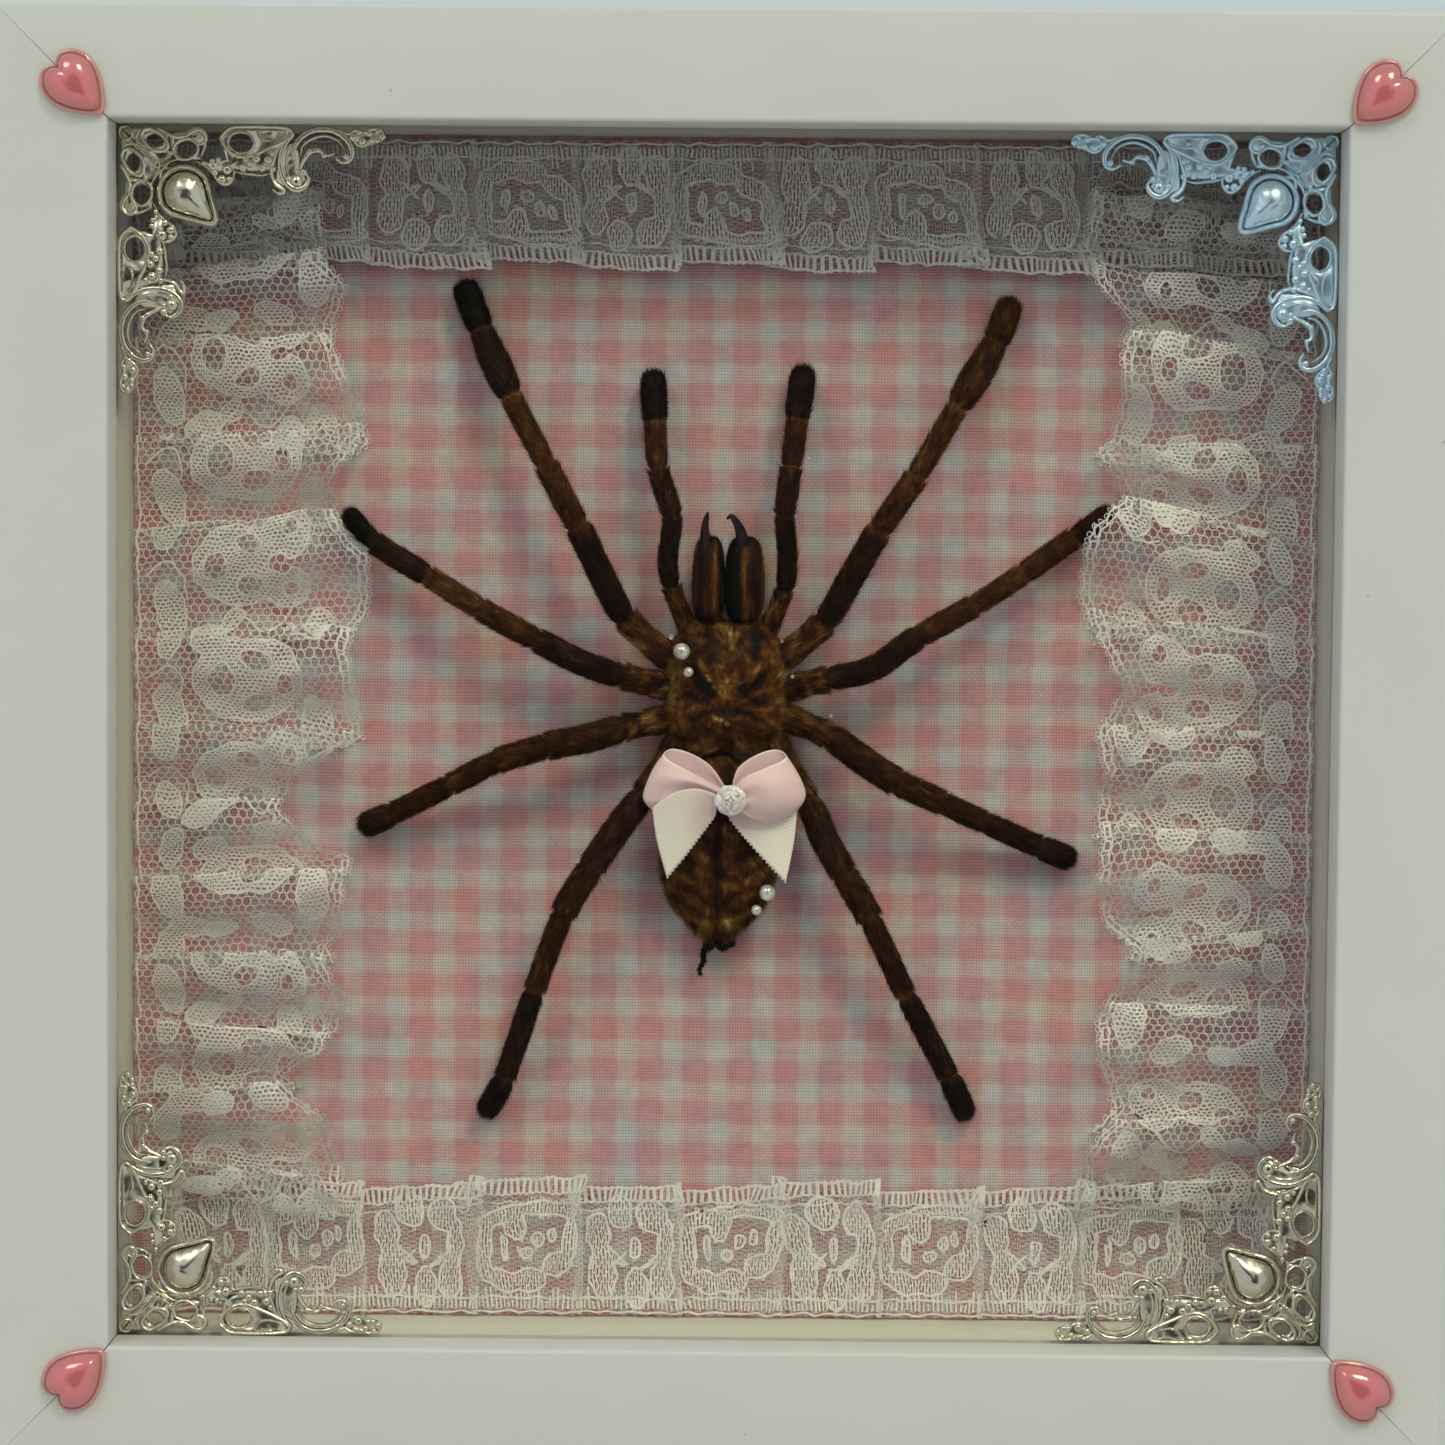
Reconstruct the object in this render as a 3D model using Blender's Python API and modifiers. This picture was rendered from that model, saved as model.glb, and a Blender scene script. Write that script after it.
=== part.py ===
"""A dried tarantula, mounted on gingham and lace behind the glass of a white box frame.

The frame stands upright on its bottom rail. Its front faces -Y, its width runs along X and its
height along Z. The origin is under the middle of the object, on the surface it stands on. A depth
is measured backwards from the rails' front face, a rise from the gingham cloth towards the glass.
"""

import math

import bmesh
import bpy
from mathutils import Matrix, Vector

MM = 0.001
GAP = 0.0003

# The box frame: four mitred rails, square, with a rabbet behind the front lip.
FRAME_SIZE = 0.250
FRAME_DEPTH = 0.045
RAIL_WIDTH = 0.0195
RABBET_WIDTH = 0.007
RAIL_EDGE_RADIUS = 0.0008
OPENING = FRAME_SIZE - 2 * RAIL_WIDTH
RABBET = OPENING + 2 * RABBET_WIDTH
PANE_SIZE = RABBET - 2 * GAP
HEART_PROUD = 0.004
FRONT_Y = HEART_PROUD - (FRAME_DEPTH + HEART_PROUD) / 2

# What is stacked behind the lip: depths from the front face, and thicknesses.
GLASS_DEPTH = 0.010
GLASS_THICKNESS = 0.002
CLOTH_DEPTH = 0.028
CLOTH_THICKNESS = 0.0004
SPACER_THICKNESS = RABBET_WIDTH - 2 * GAP
MOUNT_BOARD_THICKNESS = 0.0025
BACKING_THICKNESS = 0.003
RABBET_DEPTH = GLASS_DEPTH - GAP
SPACER_DEPTH = GLASS_DEPTH + GLASS_THICKNESS + GAP
MOUNT_BOARD_DEPTH = CLOTH_DEPTH + CLOTH_THICKNESS + GAP
BACKING_DEPTH = MOUNT_BOARD_DEPTH + MOUNT_BOARD_THICKNESS + GAP
TAB_DEPTH = BACKING_DEPTH + BACKING_THICKNESS + GAP
TAB_SIZE = Vector((0.008, 0.0006, 0.016))
TAB_OFFSET = 0.055
TAB_IN_RAIL = 0.0025

# Trim on the front: heart cabochons on the mitres, stamped corners on the glass.
HEART_WIDTH = 0.0122
HEART_LENGTH = 0.0118
HEART_FROM_CENTRE = 0.1098
CORNER_FROM_CENTRE = 0.1049
CORNER_THICKNESS = 0.0008
TEARDROP_RADIUS = 0.0043
TEARDROP_TIP = 0.0072
TEARDROP_FROM_CORNER = 0.0123
TEARDROP_HEIGHT = 0.0028

# Lace strips: from the spacers inwards, pleated across their length.
LACE_THICKNESS = 0.0005
SIDE_LACE_WIDTH = 0.0352
SIDE_LACE_LENGTH = 0.1630
SIDE_LACE_PLEAT = 0.0172
SIDE_LACE_RISE = 0.0044
END_LACE_LENGTH = 0.2080
END_LACE_WIDTH = 0.0196
BOTTOM_LACE_WIDTH = 0.0236
END_LACE_PLEAT = 0.0180
END_LACE_RISE = 0.0014

# The tarantula, head up. Places are (across, up, rise) in mm, thicknesses in mm.
CARAPACE_CENTRE = (0.5, 134.9, 6.4)
CARAPACE_HALF = (10.9, 10.7, 4.7)
ABDOMEN_CENTRE = (-0.7, 105.3, 5.6)
ABDOMEN_HALF = (10.1, 17.2, 4.7)
SPINNERET_CENTRE = (-0.8, 87.4, 4.6)
SPINNERET_HALF = (2.9, 1.5, 1.3)
FILAMENT = [(-2.6, 87.2, 4.2, 1.4), (-3.3, 84.4, 3.6, 1.2), (-3.8, 81.6, 3.0, 0.7)]
CHELICERA_HALF = (2.65, 6.6, 3.7)
CHELICERAE = {"left": (-2.9, 152.8, 7.6), "right": (4.8, 152.8, 7.6)}
FANGS = {
    "left": [(-3.1, 158.0, 9.4, 2.2), (-3.4, 161.0, 10.4, 1.6), (-3.4, 163.4, 11.2, 0.6)],
    "right": [(3.3, 158.0, 9.4, 2.4), (2.8, 160.6, 10.2, 1.9), (1.7, 162.4, 10.9, 1.3), (0.2, 162.4, 11.4, 0.6)],
}

# Stations of a leg: base, end of the coxa, middle of the femur, knee, end of the patella,
# end of the tibia, end of the metatarsus, tip. A palp has no metatarsus.
LEG_JOINTS = (1, 3, 4, 5, 6)
LEG_STATIONS = {
    "leg_1_left": [(-11.2, 139.8, 6.0), (-17.1, 145.1, 8.4), (-21.6, 153.0, 10.2), (-25.6, 161.2, 11.2),
                   (-31.3, 172.0, 10.6), (-37.7, 184.0, 8.0), (-43.2, 195.8, 4.6), (-46.6, 204.4, 3.0)],
    "leg_1_right": [(12.0, 140.3, 6.0), (17.2, 144.6, 8.4), (22.3, 153.1, 10.2), (26.8, 161.0, 11.2),
                    (33.2, 170.5, 10.6), (40.4, 182.7, 8.0), (47.2, 194.3, 4.6), (50.2, 202.2, 3.0)],
    "leg_2_left": [(-11.4, 133.6, 6.0), (-17.4, 135.1, 8.2), (-24.6, 137.4, 9.6), (-32.7, 141.5, 10.8),
                   (-42.6, 146.7, 10.0), (-52.0, 152.4, 7.6), (-61.8, 158.3, 4.8), (-66.9, 163.8, 3.6)],
    "leg_2_right": [(12.4, 133.4, 6.0), (18.0, 135.0, 8.2), (26.1, 137.0, 9.6), (33.8, 142.5, 10.8),
                    (43.5, 148.0, 9.6), (52.3, 153.6, 6.4), (61.5, 160.1, 3.6), (68.4, 165.1, 2.4)],
    "leg_3_left": [(-11.2, 127.4, 5.8), (-17.2, 126.2, 8.0), (-23.8, 124.3, 9.6), (-30.8, 122.9, 10.6),
                   (-39.5, 120.2, 10.0), (-47.9, 115.9, 7.6), (-58.3, 110.5, 4.2), (-64.4, 107.7, 2.8)],
    "leg_3_right": [(12.3, 127.8, 5.8), (18.1, 125.3, 8.0), (24.5, 120.9, 9.6), (30.3, 117.3, 10.6),
                    (38.4, 113.6, 10.0), (45.9, 110.1, 7.6), (56.1, 105.5, 4.2), (62.5, 102.9, 2.8)],
    "leg_4_left": [(-9.4, 121.4, 5.4), (-13.8, 114.8, 7.8), (-18.4, 108.5, 9.8), (-22.9, 101.8, 11.0),
                   (-27.8, 93.6, 10.6), (-33.0, 79.6, 7.8), (-38.5, 63.4, 4.2), (-42.3, 56.3, 2.8)],
    "leg_4_right": [(10.0, 121.4, 5.4), (14.7, 114.1, 7.8), (17.9, 107.0, 9.8), (21.3, 101.2, 11.0),
                    (26.0, 93.2, 10.6), (32.6, 79.4, 7.8), (40.6, 64.3, 4.2), (44.2, 56.5, 2.8)],
}
LEG_WIDTHS = {
    "1": (5.4, 5.0, 4.6, 4.1, 5.8, 5.3),
    "2": (5.2, 4.7, 4.4, 4.0, 4.3, 3.8),
    "3": (5.2, 5.4, 4.8, 4.2, 4.2, 4.8),
    "4": (4.6, 5.4, 5.2, 4.0, 4.2, 4.5),
}
PALP_JOINTS = (1, 3, 4, 5)
PALP_STATIONS = {
    "palp_left": [(-8.2, 147.4, 5.4), (-9.3, 150.8, 7.0), (-10.0, 156.5, 8.0), (-9.4, 163.3, 8.6),
                  (-11.8, 171.6, 8.2), (-12.5, 179.7, 5.8), (-13.0, 189.0, 3.2)],
    "palp_right": [(10.0, 147.2, 5.4), (10.4, 150.3, 7.0), (11.0, 156.6, 8.0), (10.5, 163.5, 8.6),
                   (11.5, 172.1, 8.2), (12.5, 180.3, 5.8), (13.7, 190.1, 3.2)],
}
PALP_WIDTHS = (3.6, 3.8, 4.1, 4.1, 5.0)
JOINT_NECK = 0.82
SEGMENT_BULGE = 0.10

# The satin bow over the waist, outlines as (across, up) in mm, and its cabochon.
BOW_DEPTH = 0.0141
BOW_THICKNESS = 0.0026
BOW_TAILS_DEPTH = 0.0170
BOW_TAILS_THICKNESS = 0.0004
BOW_LOOPS = [(-0.4, 116.6), (-2.6, 120.4), (-6.2, 122.2), (-9.8, 122.9), (-12.0, 118.6), (-13.4, 113.8),
             (-11.8, 111.7), (-6.4, 111.0), (-2.0, 111.6), (1.0, 111.8), (4.4, 111.2), (8.0, 110.0),
             (11.6, 111.2), (14.2, 114.3), (12.8, 118.6), (10.0, 122.8), (6.0, 121.8), (2.8, 119.2), (1.6, 116.6)]
BOW_TAILS = [(-0.6, 113.4), (-12.4, 113.2), (-11.8, 107.6), (-9.6, 99.9), (-5.2, 104.8), (-1.4, 111.0),
             (1.2, 111.0), (6.0, 105.6), (11.2, 99.8), (12.8, 106.0), (13.4, 113.2), (3.0, 113.4)]
ROSE_CENTRE = (1.5, 113.8)
ROSE_RADIUS = 3.0
ROSE_DEPTH = 0.0124
ROSE_THICKNESS = 0.0013
PEARLS = {
    "pearl_carapace_large": (-7.4, 139.8, 12.2, 1.5),
    "pearl_carapace_small": (-6.2, 136.2, 12.0, 0.9),
    "pearl_abdomen_large": (8.0, 97.4, 10.4, 1.45),
    "pearl_abdomen_small": (6.1, 94.2, 9.6, 0.95),
}


def at_depth(depth):
    """World y of a depth measured back from the rails' front face."""
    return FRONT_Y + depth


def specimen_point(across, up, rise):
    """World place of a point of the specimen, given in mm."""
    return Vector((across * MM, at_depth(CLOTH_DEPTH - rise * MM), up * MM))


def clear_scene():
    for old in list(bpy.data.objects):
        bpy.data.objects.remove(old, do_unlink=True)


def make_collection(name):
    collection = bpy.data.collections.new(name)
    bpy.context.scene.collection.children.link(collection)
    return collection


def make_material(name, colour, roughness, metallic=0.0):
    material = bpy.data.materials.new(name)
    material.use_nodes = True
    shader = material.node_tree.nodes["Principled BSDF"]
    shader.inputs["Base Color"].default_value = (*colour, 1.0)
    shader.inputs["Roughness"].default_value = roughness
    shader.inputs["Metallic"].default_value = metallic
    return material


def add_object(name, mesh, material):
    """A part of the specimen or its frame, with its own material."""
    part = bpy.data.objects.new(name, mesh)
    part.data.materials.append(material)
    PARTS.objects.link(part)
    return part


def add_cutter(name, mesh):
    cutter = bpy.data.objects.new(name, mesh)
    cutter.hide_render = True
    cutter.display_type = "WIRE"
    CUTTERS.objects.link(cutter)
    return cutter


def finish_mesh(name, bm):
    bmesh.ops.recalc_face_normals(bm, faces=bm.faces)
    mesh = bpy.data.meshes.new(name)
    bm.to_mesh(mesh)
    bm.free()
    return mesh


def smooth(mesh, angle=40):
    mesh.shade_smooth()
    mesh.set_sharp_from_angle(angle=math.radians(angle))


def box_mesh(name, size, centre=(0, 0, 0)):
    bm = bmesh.new()
    bmesh.ops.create_cube(bm, size=1.0)
    bmesh.ops.scale(bm, vec=size, verts=bm.verts)
    bmesh.ops.translate(bm, vec=centre, verts=bm.verts)
    return finish_mesh(name, bm)


def add_box(name, material, size, location):
    part = add_object(name, box_mesh(name, size), material)
    part.location = location
    return part


def add_boolean(part, operand, operation):
    boolean = part.modifiers.new(operand.name, "BOOLEAN")
    boolean.operation = operation
    boolean.solver = "EXACT"
    boolean.object = operand


def around_frame(part, quarter_turns):
    """Turns a piece made for one side or corner about the middle of the frame."""
    part.location = (0, 0, FRAME_SIZE / 2)
    part.rotation_euler = (0, math.radians(90 * quarter_turns), 0)


# ---------------------------------------------------------------- box frame

def rail_mesh():
    """The bottom rail about the middle of the frame: a bar with rounded arrises and mitred ends."""
    half = FRAME_SIZE / 2
    bm = bmesh.new()
    bmesh.ops.create_cube(bm, size=1.0)
    bmesh.ops.scale(bm, vec=(FRAME_SIZE, FRAME_DEPTH, RAIL_WIDTH), verts=bm.verts)
    bmesh.ops.translate(bm, vec=(0, at_depth(FRAME_DEPTH / 2), RAIL_WIDTH / 2 - half), verts=bm.verts)
    long_edges = [e for e in bm.edges if abs(e.verts[0].co.x - e.verts[1].co.x) > half]
    bmesh.ops.bevel(bm, geom=long_edges, offset=RAIL_EDGE_RADIUS, offset_type="OFFSET",
                    segments=2, profile=0.5, affect="EDGES", material=-1)
    for side in (1, -1):
        mitre = bmesh.ops.bisect_plane(
            bm, geom=bm.verts[:] + bm.edges[:] + bm.faces[:], dist=1e-6,
            plane_co=(side * (half - GAP / math.sqrt(2)), 0, -half), plane_no=(side, 0, 1), clear_outer=True)
        cut_edges = [item for item in mitre["geom_cut"] if isinstance(item, bmesh.types.BMEdge)]
        bmesh.ops.holes_fill(bm, edges=cut_edges, sides=0)
    return finish_mesh("rail", bm)


def build_rails(material):
    rabbet = add_cutter("rabbet_cutter", box_mesh("rabbet", (RABBET, FRAME_DEPTH, RABBET)))
    rabbet.location = (0, at_depth(RABBET_DEPTH + FRAME_DEPTH / 2), FRAME_SIZE / 2)
    slot_size = TAB_SIZE + Vector((2 * GAP, 2 * GAP, 2 * GAP))
    mesh = rail_mesh()
    for turn, side in enumerate(("bottom", "left", "top", "right")):
        rail = add_object("rail_" + side, mesh if turn == 0 else mesh.copy(), material)
        around_frame(rail, turn)
        add_boolean(rail, rabbet, "DIFFERENCE")
        for end, offset in (("a", -TAB_OFFSET), ("b", TAB_OFFSET)):
            slot = add_cutter(f"tab_slot_{side}_{end}", box_mesh("tab_slot", slot_size, tab_centre(offset)))
            around_frame(slot, turn)
            add_boolean(rail, slot, "DIFFERENCE")


def tab_centre(offset):
    """Middle of a tab of the bottom rail, about the middle of the frame."""
    foot = -RABBET / 2 - TAB_IN_RAIL
    return Vector((offset, at_depth(TAB_DEPTH + TAB_SIZE.y / 2), foot + TAB_SIZE.z / 2))


def build_retaining_tabs(material):
    for turn, side in enumerate(("bottom", "left", "top", "right")):
        for end, offset in (("a", -TAB_OFFSET), ("b", TAB_OFFSET)):
            name = f"retaining_tab_{side}_{end}"
            tab = add_object(name, box_mesh(name, TAB_SIZE, tab_centre(offset)), material)
            around_frame(tab, turn)


def build_panels(glass, cloth, board, backing):
    centre_z = FRAME_SIZE / 2
    layers = (
        ("glass_pane", glass, GLASS_DEPTH, GLASS_THICKNESS),
        ("gingham_cloth", cloth, CLOTH_DEPTH, CLOTH_THICKNESS),
        ("mount_board", board, MOUNT_BOARD_DEPTH, MOUNT_BOARD_THICKNESS),
        ("backing_board", backing, BACKING_DEPTH, BACKING_THICKNESS),
    )
    for name, material, depth, thickness in layers:
        size = (PANE_SIZE, thickness, PANE_SIZE)
        add_box(name, material, size, (0, at_depth(depth + thickness / 2), centre_z))


def build_spacers(material):
    """Four strips that hold the glass off the cloth, flush with the rails' inner faces."""
    depth = CLOTH_DEPTH - SPACER_DEPTH - GAP
    y = at_depth(SPACER_DEPTH + depth / 2)
    centre_z = FRAME_SIZE / 2
    reach = (OPENING + SPACER_THICKNESS) / 2
    for side, sign in (("bottom", -1), ("top", 1)):
        size = (PANE_SIZE, depth, SPACER_THICKNESS)
        add_box("spacer_" + side, material, size, (0, y, centre_z + sign * reach))
    for side, sign in (("left", -1), ("right", 1)):
        size = (SPACER_THICKNESS, depth, OPENING - 2 * GAP)
        add_box("spacer_" + side, material, size, (sign * reach, y, centre_z))


# ---------------------------------------------------------------- trim on the front

def raised_outline(name, outline, centre, y, rings):
    """A dome on a closed outline: each ring is the outline drawn in to its centre and raised to -Y."""
    bm = bmesh.new()
    loops = []
    for scale, height in [(1.0, 0.0)] + list(rings):
        ring = [bm.verts.new((centre[0] + (x - centre[0]) * scale, y - height, centre[1] + (z - centre[1]) * scale))
                for x, z in outline]
        loops.append([bm.edges.new((ring[i - 1], ring[i])) for i in range(len(ring))])
    for lower, upper in zip(loops, loops[1:]):
        bmesh.ops.bridge_loops(bm, edges=lower + upper)
    bmesh.ops.holes_fill(bm, edges=loops[0] + loops[-1], sides=0)
    return finish_mesh(name, bm)


def heart_outline(points=20):
    """The heart with its tip towards the middle of the frame, for the bottom left corner."""
    outline = []
    for step in range(points):
        a = 2 * math.pi * step / points
        across = math.sin(a) ** 3 * HEART_WIDTH / 2
        along = 13 * math.cos(a) - 5 * math.cos(2 * a) - 2 * math.cos(3 * a) - math.cos(4 * a)
        along = (along + 2.5) / 29 * HEART_LENGTH
        turn = math.radians(45)
        x = across * math.cos(turn) - along * math.sin(turn) - HEART_FROM_CENTRE
        z = -across * math.sin(turn) - along * math.cos(turn) - HEART_FROM_CENTRE
        outline.append((x, z))
    return outline


def build_hearts(material):
    centre = (-HEART_FROM_CENTRE, -HEART_FROM_CENTRE)
    for turn, corner in enumerate(("bottom_left", "top_left", "top_right", "bottom_right")):
        height = HEART_PROUD - GAP
        rings = ((1.0, height * 0.25), (0.86, height * 0.62), (0.58, height * 0.9), (0.26, height))
        mesh = raised_outline("heart_" + corner, heart_outline(), centre, at_depth(-GAP), rings)
        smooth(mesh, 70)
        around_frame(add_object("heart_" + corner, mesh, material), turn)


def corner_outline():
    """Half the scrolled edge of a stamped corner, mirrored in the diagonal; from the corner, in mm."""
    arm = [(13.0, 0.6), (30.0, 0.1), (45.3, 0.5), (44.6, 2.8), (41.4, 3.6), (39.4, 5.8), (36.6, 4.6),
           (33.4, 4.4), (32.2, 8.6), (29.6, 11.0), (26.6, 8.8), (24.0, 7.0), (20.4, 9.4), (17.4, 10.6)]
    return [(0.0, 0.0)] + arm + [(v, u) for u, v in reversed(arm)]


def oval(centre, half_length, half_width, points=6):
    return [(centre[0] + half_length * math.cos(2 * math.pi * i / points),
             centre[1] + half_width * math.sin(2 * math.pi * i / points)) for i in range(points)]


def corner_holes():
    arm = [oval((10.4, 3.3), 2.7, 1.6), oval((17.6, 4.2), 2.8, 1.9), oval((25.6, 3.3), 2.8, 1.4)]
    return [oval((4.6, 4.6), 1.9, 1.9)] + arm + [[(v, u) for u, v in hole] for hole in arm]


def curve_mesh(curve_data):
    """The mesh of a curve, with its loose caps welded on."""
    guide = bpy.data.objects.new("guide", curve_data)
    PARTS.objects.link(guide)
    depsgraph = bpy.context.evaluated_depsgraph_get()
    mesh = bpy.data.meshes.new_from_object(guide.evaluated_get(depsgraph))
    bpy.data.objects.remove(guide, do_unlink=True)
    bm = bmesh.new()
    bm.from_mesh(mesh)
    bmesh.ops.remove_doubles(bm, verts=bm.verts, dist=1e-6)
    bm.to_mesh(mesh)
    bm.free()
    return mesh


def flat_mesh(name, outlines, depth, thickness):
    """A flat piece seen from the front: closed outlines in x and z, filled and given a thickness."""
    curve = bpy.data.curves.new(name, "CURVE")
    curve.dimensions = "2D"
    curve.fill_mode = "BOTH"
    curve.extrude = thickness / 2
    for outline in outlines:
        spline = curve.splines.new("POLY")
        spline.points.add(len(outline) - 1)
        for point, (x, z) in zip(spline.points, outline):
            point.co = (x, z, 0, 1)
        spline.use_cyclic_u = True
    mesh = curve_mesh(curve)
    mesh.transform(Matrix.Rotation(math.pi / 2, 4, "X"))
    mesh.transform(Matrix.Translation((0, at_depth(depth + thickness / 2), 0)))
    return mesh


def from_corner(points):
    """Places (u, v) in mm from the bottom left corner of the opening about the frame's middle."""
    return [(u * MM - CORNER_FROM_CENTRE, v * MM - CORNER_FROM_CENTRE) for u, v in points]


def teardrop_outline(points=14):
    """A round drop whose tip points along the diagonal to the middle of the frame."""
    centre = TEARDROP_FROM_CORNER - CORNER_FROM_CENTRE
    outline = []
    for step in range(points):
        a = 2 * math.pi * step / points
        stretch = max(0.0, math.cos(a)) ** 3 * (TEARDROP_TIP - TEARDROP_RADIUS)
        along = TEARDROP_RADIUS * math.cos(a) + stretch
        across = TEARDROP_RADIUS * math.sin(a) * (1 - 0.25 * max(0.0, math.cos(a)))
        x = centre + (along - across) / math.sqrt(2)
        z = centre + (along + across) / math.sqrt(2)
        outline.append((x, z))
    return outline


def build_corners(material):
    depth = GLASS_DEPTH - GAP - CORNER_THICKNESS
    for turn, corner in enumerate(("bottom_left", "top_left", "top_right", "bottom_right")):
        name = "filigree_" + corner
        outlines = [from_corner(points) for points in [corner_outline()] + corner_holes()]
        plate = add_object(name, flat_mesh(name, outlines, depth, CORNER_THICKNESS), material)
        around_frame(plate, turn)
        centre = (TEARDROP_FROM_CORNER - CORNER_FROM_CENTRE,) * 2
        rings = ((1.0, CORNER_THICKNESS), (0.84, CORNER_THICKNESS * 1.1), (0.66, TEARDROP_HEIGHT * 0.85),
                 (0.3, TEARDROP_HEIGHT))
        foot = at_depth(depth + CORNER_THICKNESS / 2)
        dome = add_cutter("teardrop_" + corner, raised_outline("teardrop", teardrop_outline(), centre, foot, rings))
        around_frame(dome, turn)
        add_boolean(plate, dome, "UNION")


# ---------------------------------------------------------------- lace

def pleated_strip(name, length, width, pleat, rise, columns, material):
    """An upright strip of lace: lifted pleats, lower at the outer edge, across its length."""
    rows = round(length / pleat) * (4 if columns > 1 else 3)
    bm = bmesh.new()
    bmesh.ops.create_grid(bm, x_segments=columns, y_segments=rows, size=0.5)
    for vert in bm.verts:
        inwards = vert.co.x + 0.5
        along = vert.co.y * length
        fold = 0.5 - 0.5 * math.cos(2 * math.pi * along / pleat)
        height = rise * (0.35 + 0.65 * inwards) * fold
        vert.co = (inwards * width, -height, along)
    bmesh.ops.recalc_face_normals(bm, faces=bm.faces)
    strip = add_object(name, finish_mesh(name, bm), material)
    skin = strip.modifiers.new("thickness", "SOLIDIFY")
    skin.thickness = LACE_THICKNESS
    skin.offset = 0
    return strip


def build_lace(material):
    y = at_depth(CLOTH_DEPTH - GAP - LACE_THICKNESS)
    outer = OPENING / 2 - 2 * GAP
    middle = FRAME_SIZE / 2
    side_z = middle + (BOTTOM_LACE_WIDTH - END_LACE_WIDTH) / 2
    places = (
        ("lace_left", SIDE_LACE_LENGTH, SIDE_LACE_WIDTH, (-outer, y, side_z), 0),
        ("lace_right", SIDE_LACE_LENGTH, SIDE_LACE_WIDTH, (outer, y, side_z), 180),
        ("lace_bottom", END_LACE_LENGTH, BOTTOM_LACE_WIDTH, (0, y, middle - outer), -90),
        ("lace_top", END_LACE_LENGTH, END_LACE_WIDTH, (0, y, middle + outer), 90),
    )
    for name, length, width, location, angle in places:
        upright = name in ("lace_left", "lace_right")
        pleat = SIDE_LACE_PLEAT if upright else END_LACE_PLEAT
        rise = SIDE_LACE_RISE if upright else END_LACE_RISE
        strip = pleated_strip(name, length, width, pleat, rise, 2 if upright else 1, material)
        strip.location = location
        strip.rotation_euler = (0, math.radians(angle), 0)


# ---------------------------------------------------------------- tarantula

def rounded_body(name, centre, half, shape, segments=16, rings=9, pole="Z"):
    """A ball stretched to half sizes (across, up, rise) in mm, its outline trimmed by shape(x, y, z)."""
    bm = bmesh.new()
    bmesh.ops.create_uvsphere(bm, u_segments=segments, v_segments=rings, radius=1.0)
    if pole == "Y":
        bmesh.ops.rotate(bm, verts=bm.verts, matrix=Matrix.Rotation(math.pi / 2, 3, "X"))
    middle = specimen_point(*centre)
    for vert in bm.verts:
        x, y, z = shape(*vert.co)
        vert.co = middle + Vector((x * half[0], y * half[2], z * half[1])) * MM
    mesh = finish_mesh(name, bm)
    smooth(mesh, 60)
    return mesh


def tapered_tube(name, stations):
    """A round limb through (across, up, rise, thickness) stations in mm."""
    curve = bpy.data.curves.new(name, "CURVE")
    curve.dimensions = "3D"
    curve.bevel_depth = MM
    curve.bevel_resolution = 2
    curve.use_fill_caps = True
    spline = curve.splines.new("POLY")
    spline.points.add(len(stations) - 1)
    for point, (across, up, rise, thickness) in zip(spline.points, stations):
        point.co = (*specimen_point(across, up, rise), 1)
        point.radius = thickness / 2
    mesh = curve_mesh(curve)
    smooth(mesh, 60)
    return mesh


def smooth_point(stations, index, t):
    """A point of the smooth curve through the stations, between index and index + 1."""
    count = len(stations)
    around = [Vector(stations[min(max(index + k, 0), count - 1)]) for k in (-1, 0, 1, 2)]
    before, start, end, after = around
    return 0.5 * (2 * start + (end - before) * t + (2 * before - 5 * start + 4 * end - after) * t * t
                  + (3 * start - before - 3 * end + after) * t ** 3)


def limb_stations(stations, joints, widths):
    """Swells each segment of a limb and draws it in where it meets the next."""
    limb = []
    ends = [0] + list(joints) + [len(stations) - 1]
    for segment, width in enumerate(widths):
        first, last = ends[segment], ends[segment + 1]
        spans = last - first
        for t in (0.0, 0.14, 0.50, 0.88):
            place = t * spans
            index = min(int(place), spans - 1)
            point = smooth_point(stations, first + index, place - index)
            swell = 1 - SEGMENT_BULGE + SEGMENT_BULGE * math.sin(math.pi * t)
            thickness = width * (JOINT_NECK if t == 0.0 else swell)
            if segment == 0:
                thickness *= 0.74 + 0.26 * min(1.0, 2 * t)
            if segment == len(widths) - 1 and t > 0.8:
                thickness *= 0.84
            limb.append((*point, thickness))
    limb.append((*stations[-1], widths[-1] * 0.42))
    return limb


def carapace_shape(x, y, z):
    """Broad behind and squarer in front, with a raised head and a flatter underside."""
    front = max(0.0, z)
    side = 1 - 0.34 * front ** 2
    corner = 1 + 0.16 * abs(2 * x * z)
    raised = 1 + 0.18 * front if y < 0 else 0.9
    return x * side * corner, y * raised, z * corner


def abdomen_shape(x, y, z):
    """An egg, drawn in to a waist in front and to the spinnerets behind."""
    rear = max(0.0, -z - 0.62)
    front = max(0.0, z - 0.35)
    width = 1 + 0.08 * max(0.0, -z) - 1.3 * rear - 0.35 * front
    return x * width, y * (1 - 0.25 * front), z


def chelicera_shape(x, y, z):
    """A blunt cylinder, domed at both ends and a little narrower at the fang."""
    blunt = 1 + 0.16 * (1 - abs(z)) * abs(z) * 4
    return x * blunt, y * blunt * (1 - 0.12 * z), z


def plain_shape(x, y, z):
    return x, y, z


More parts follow.
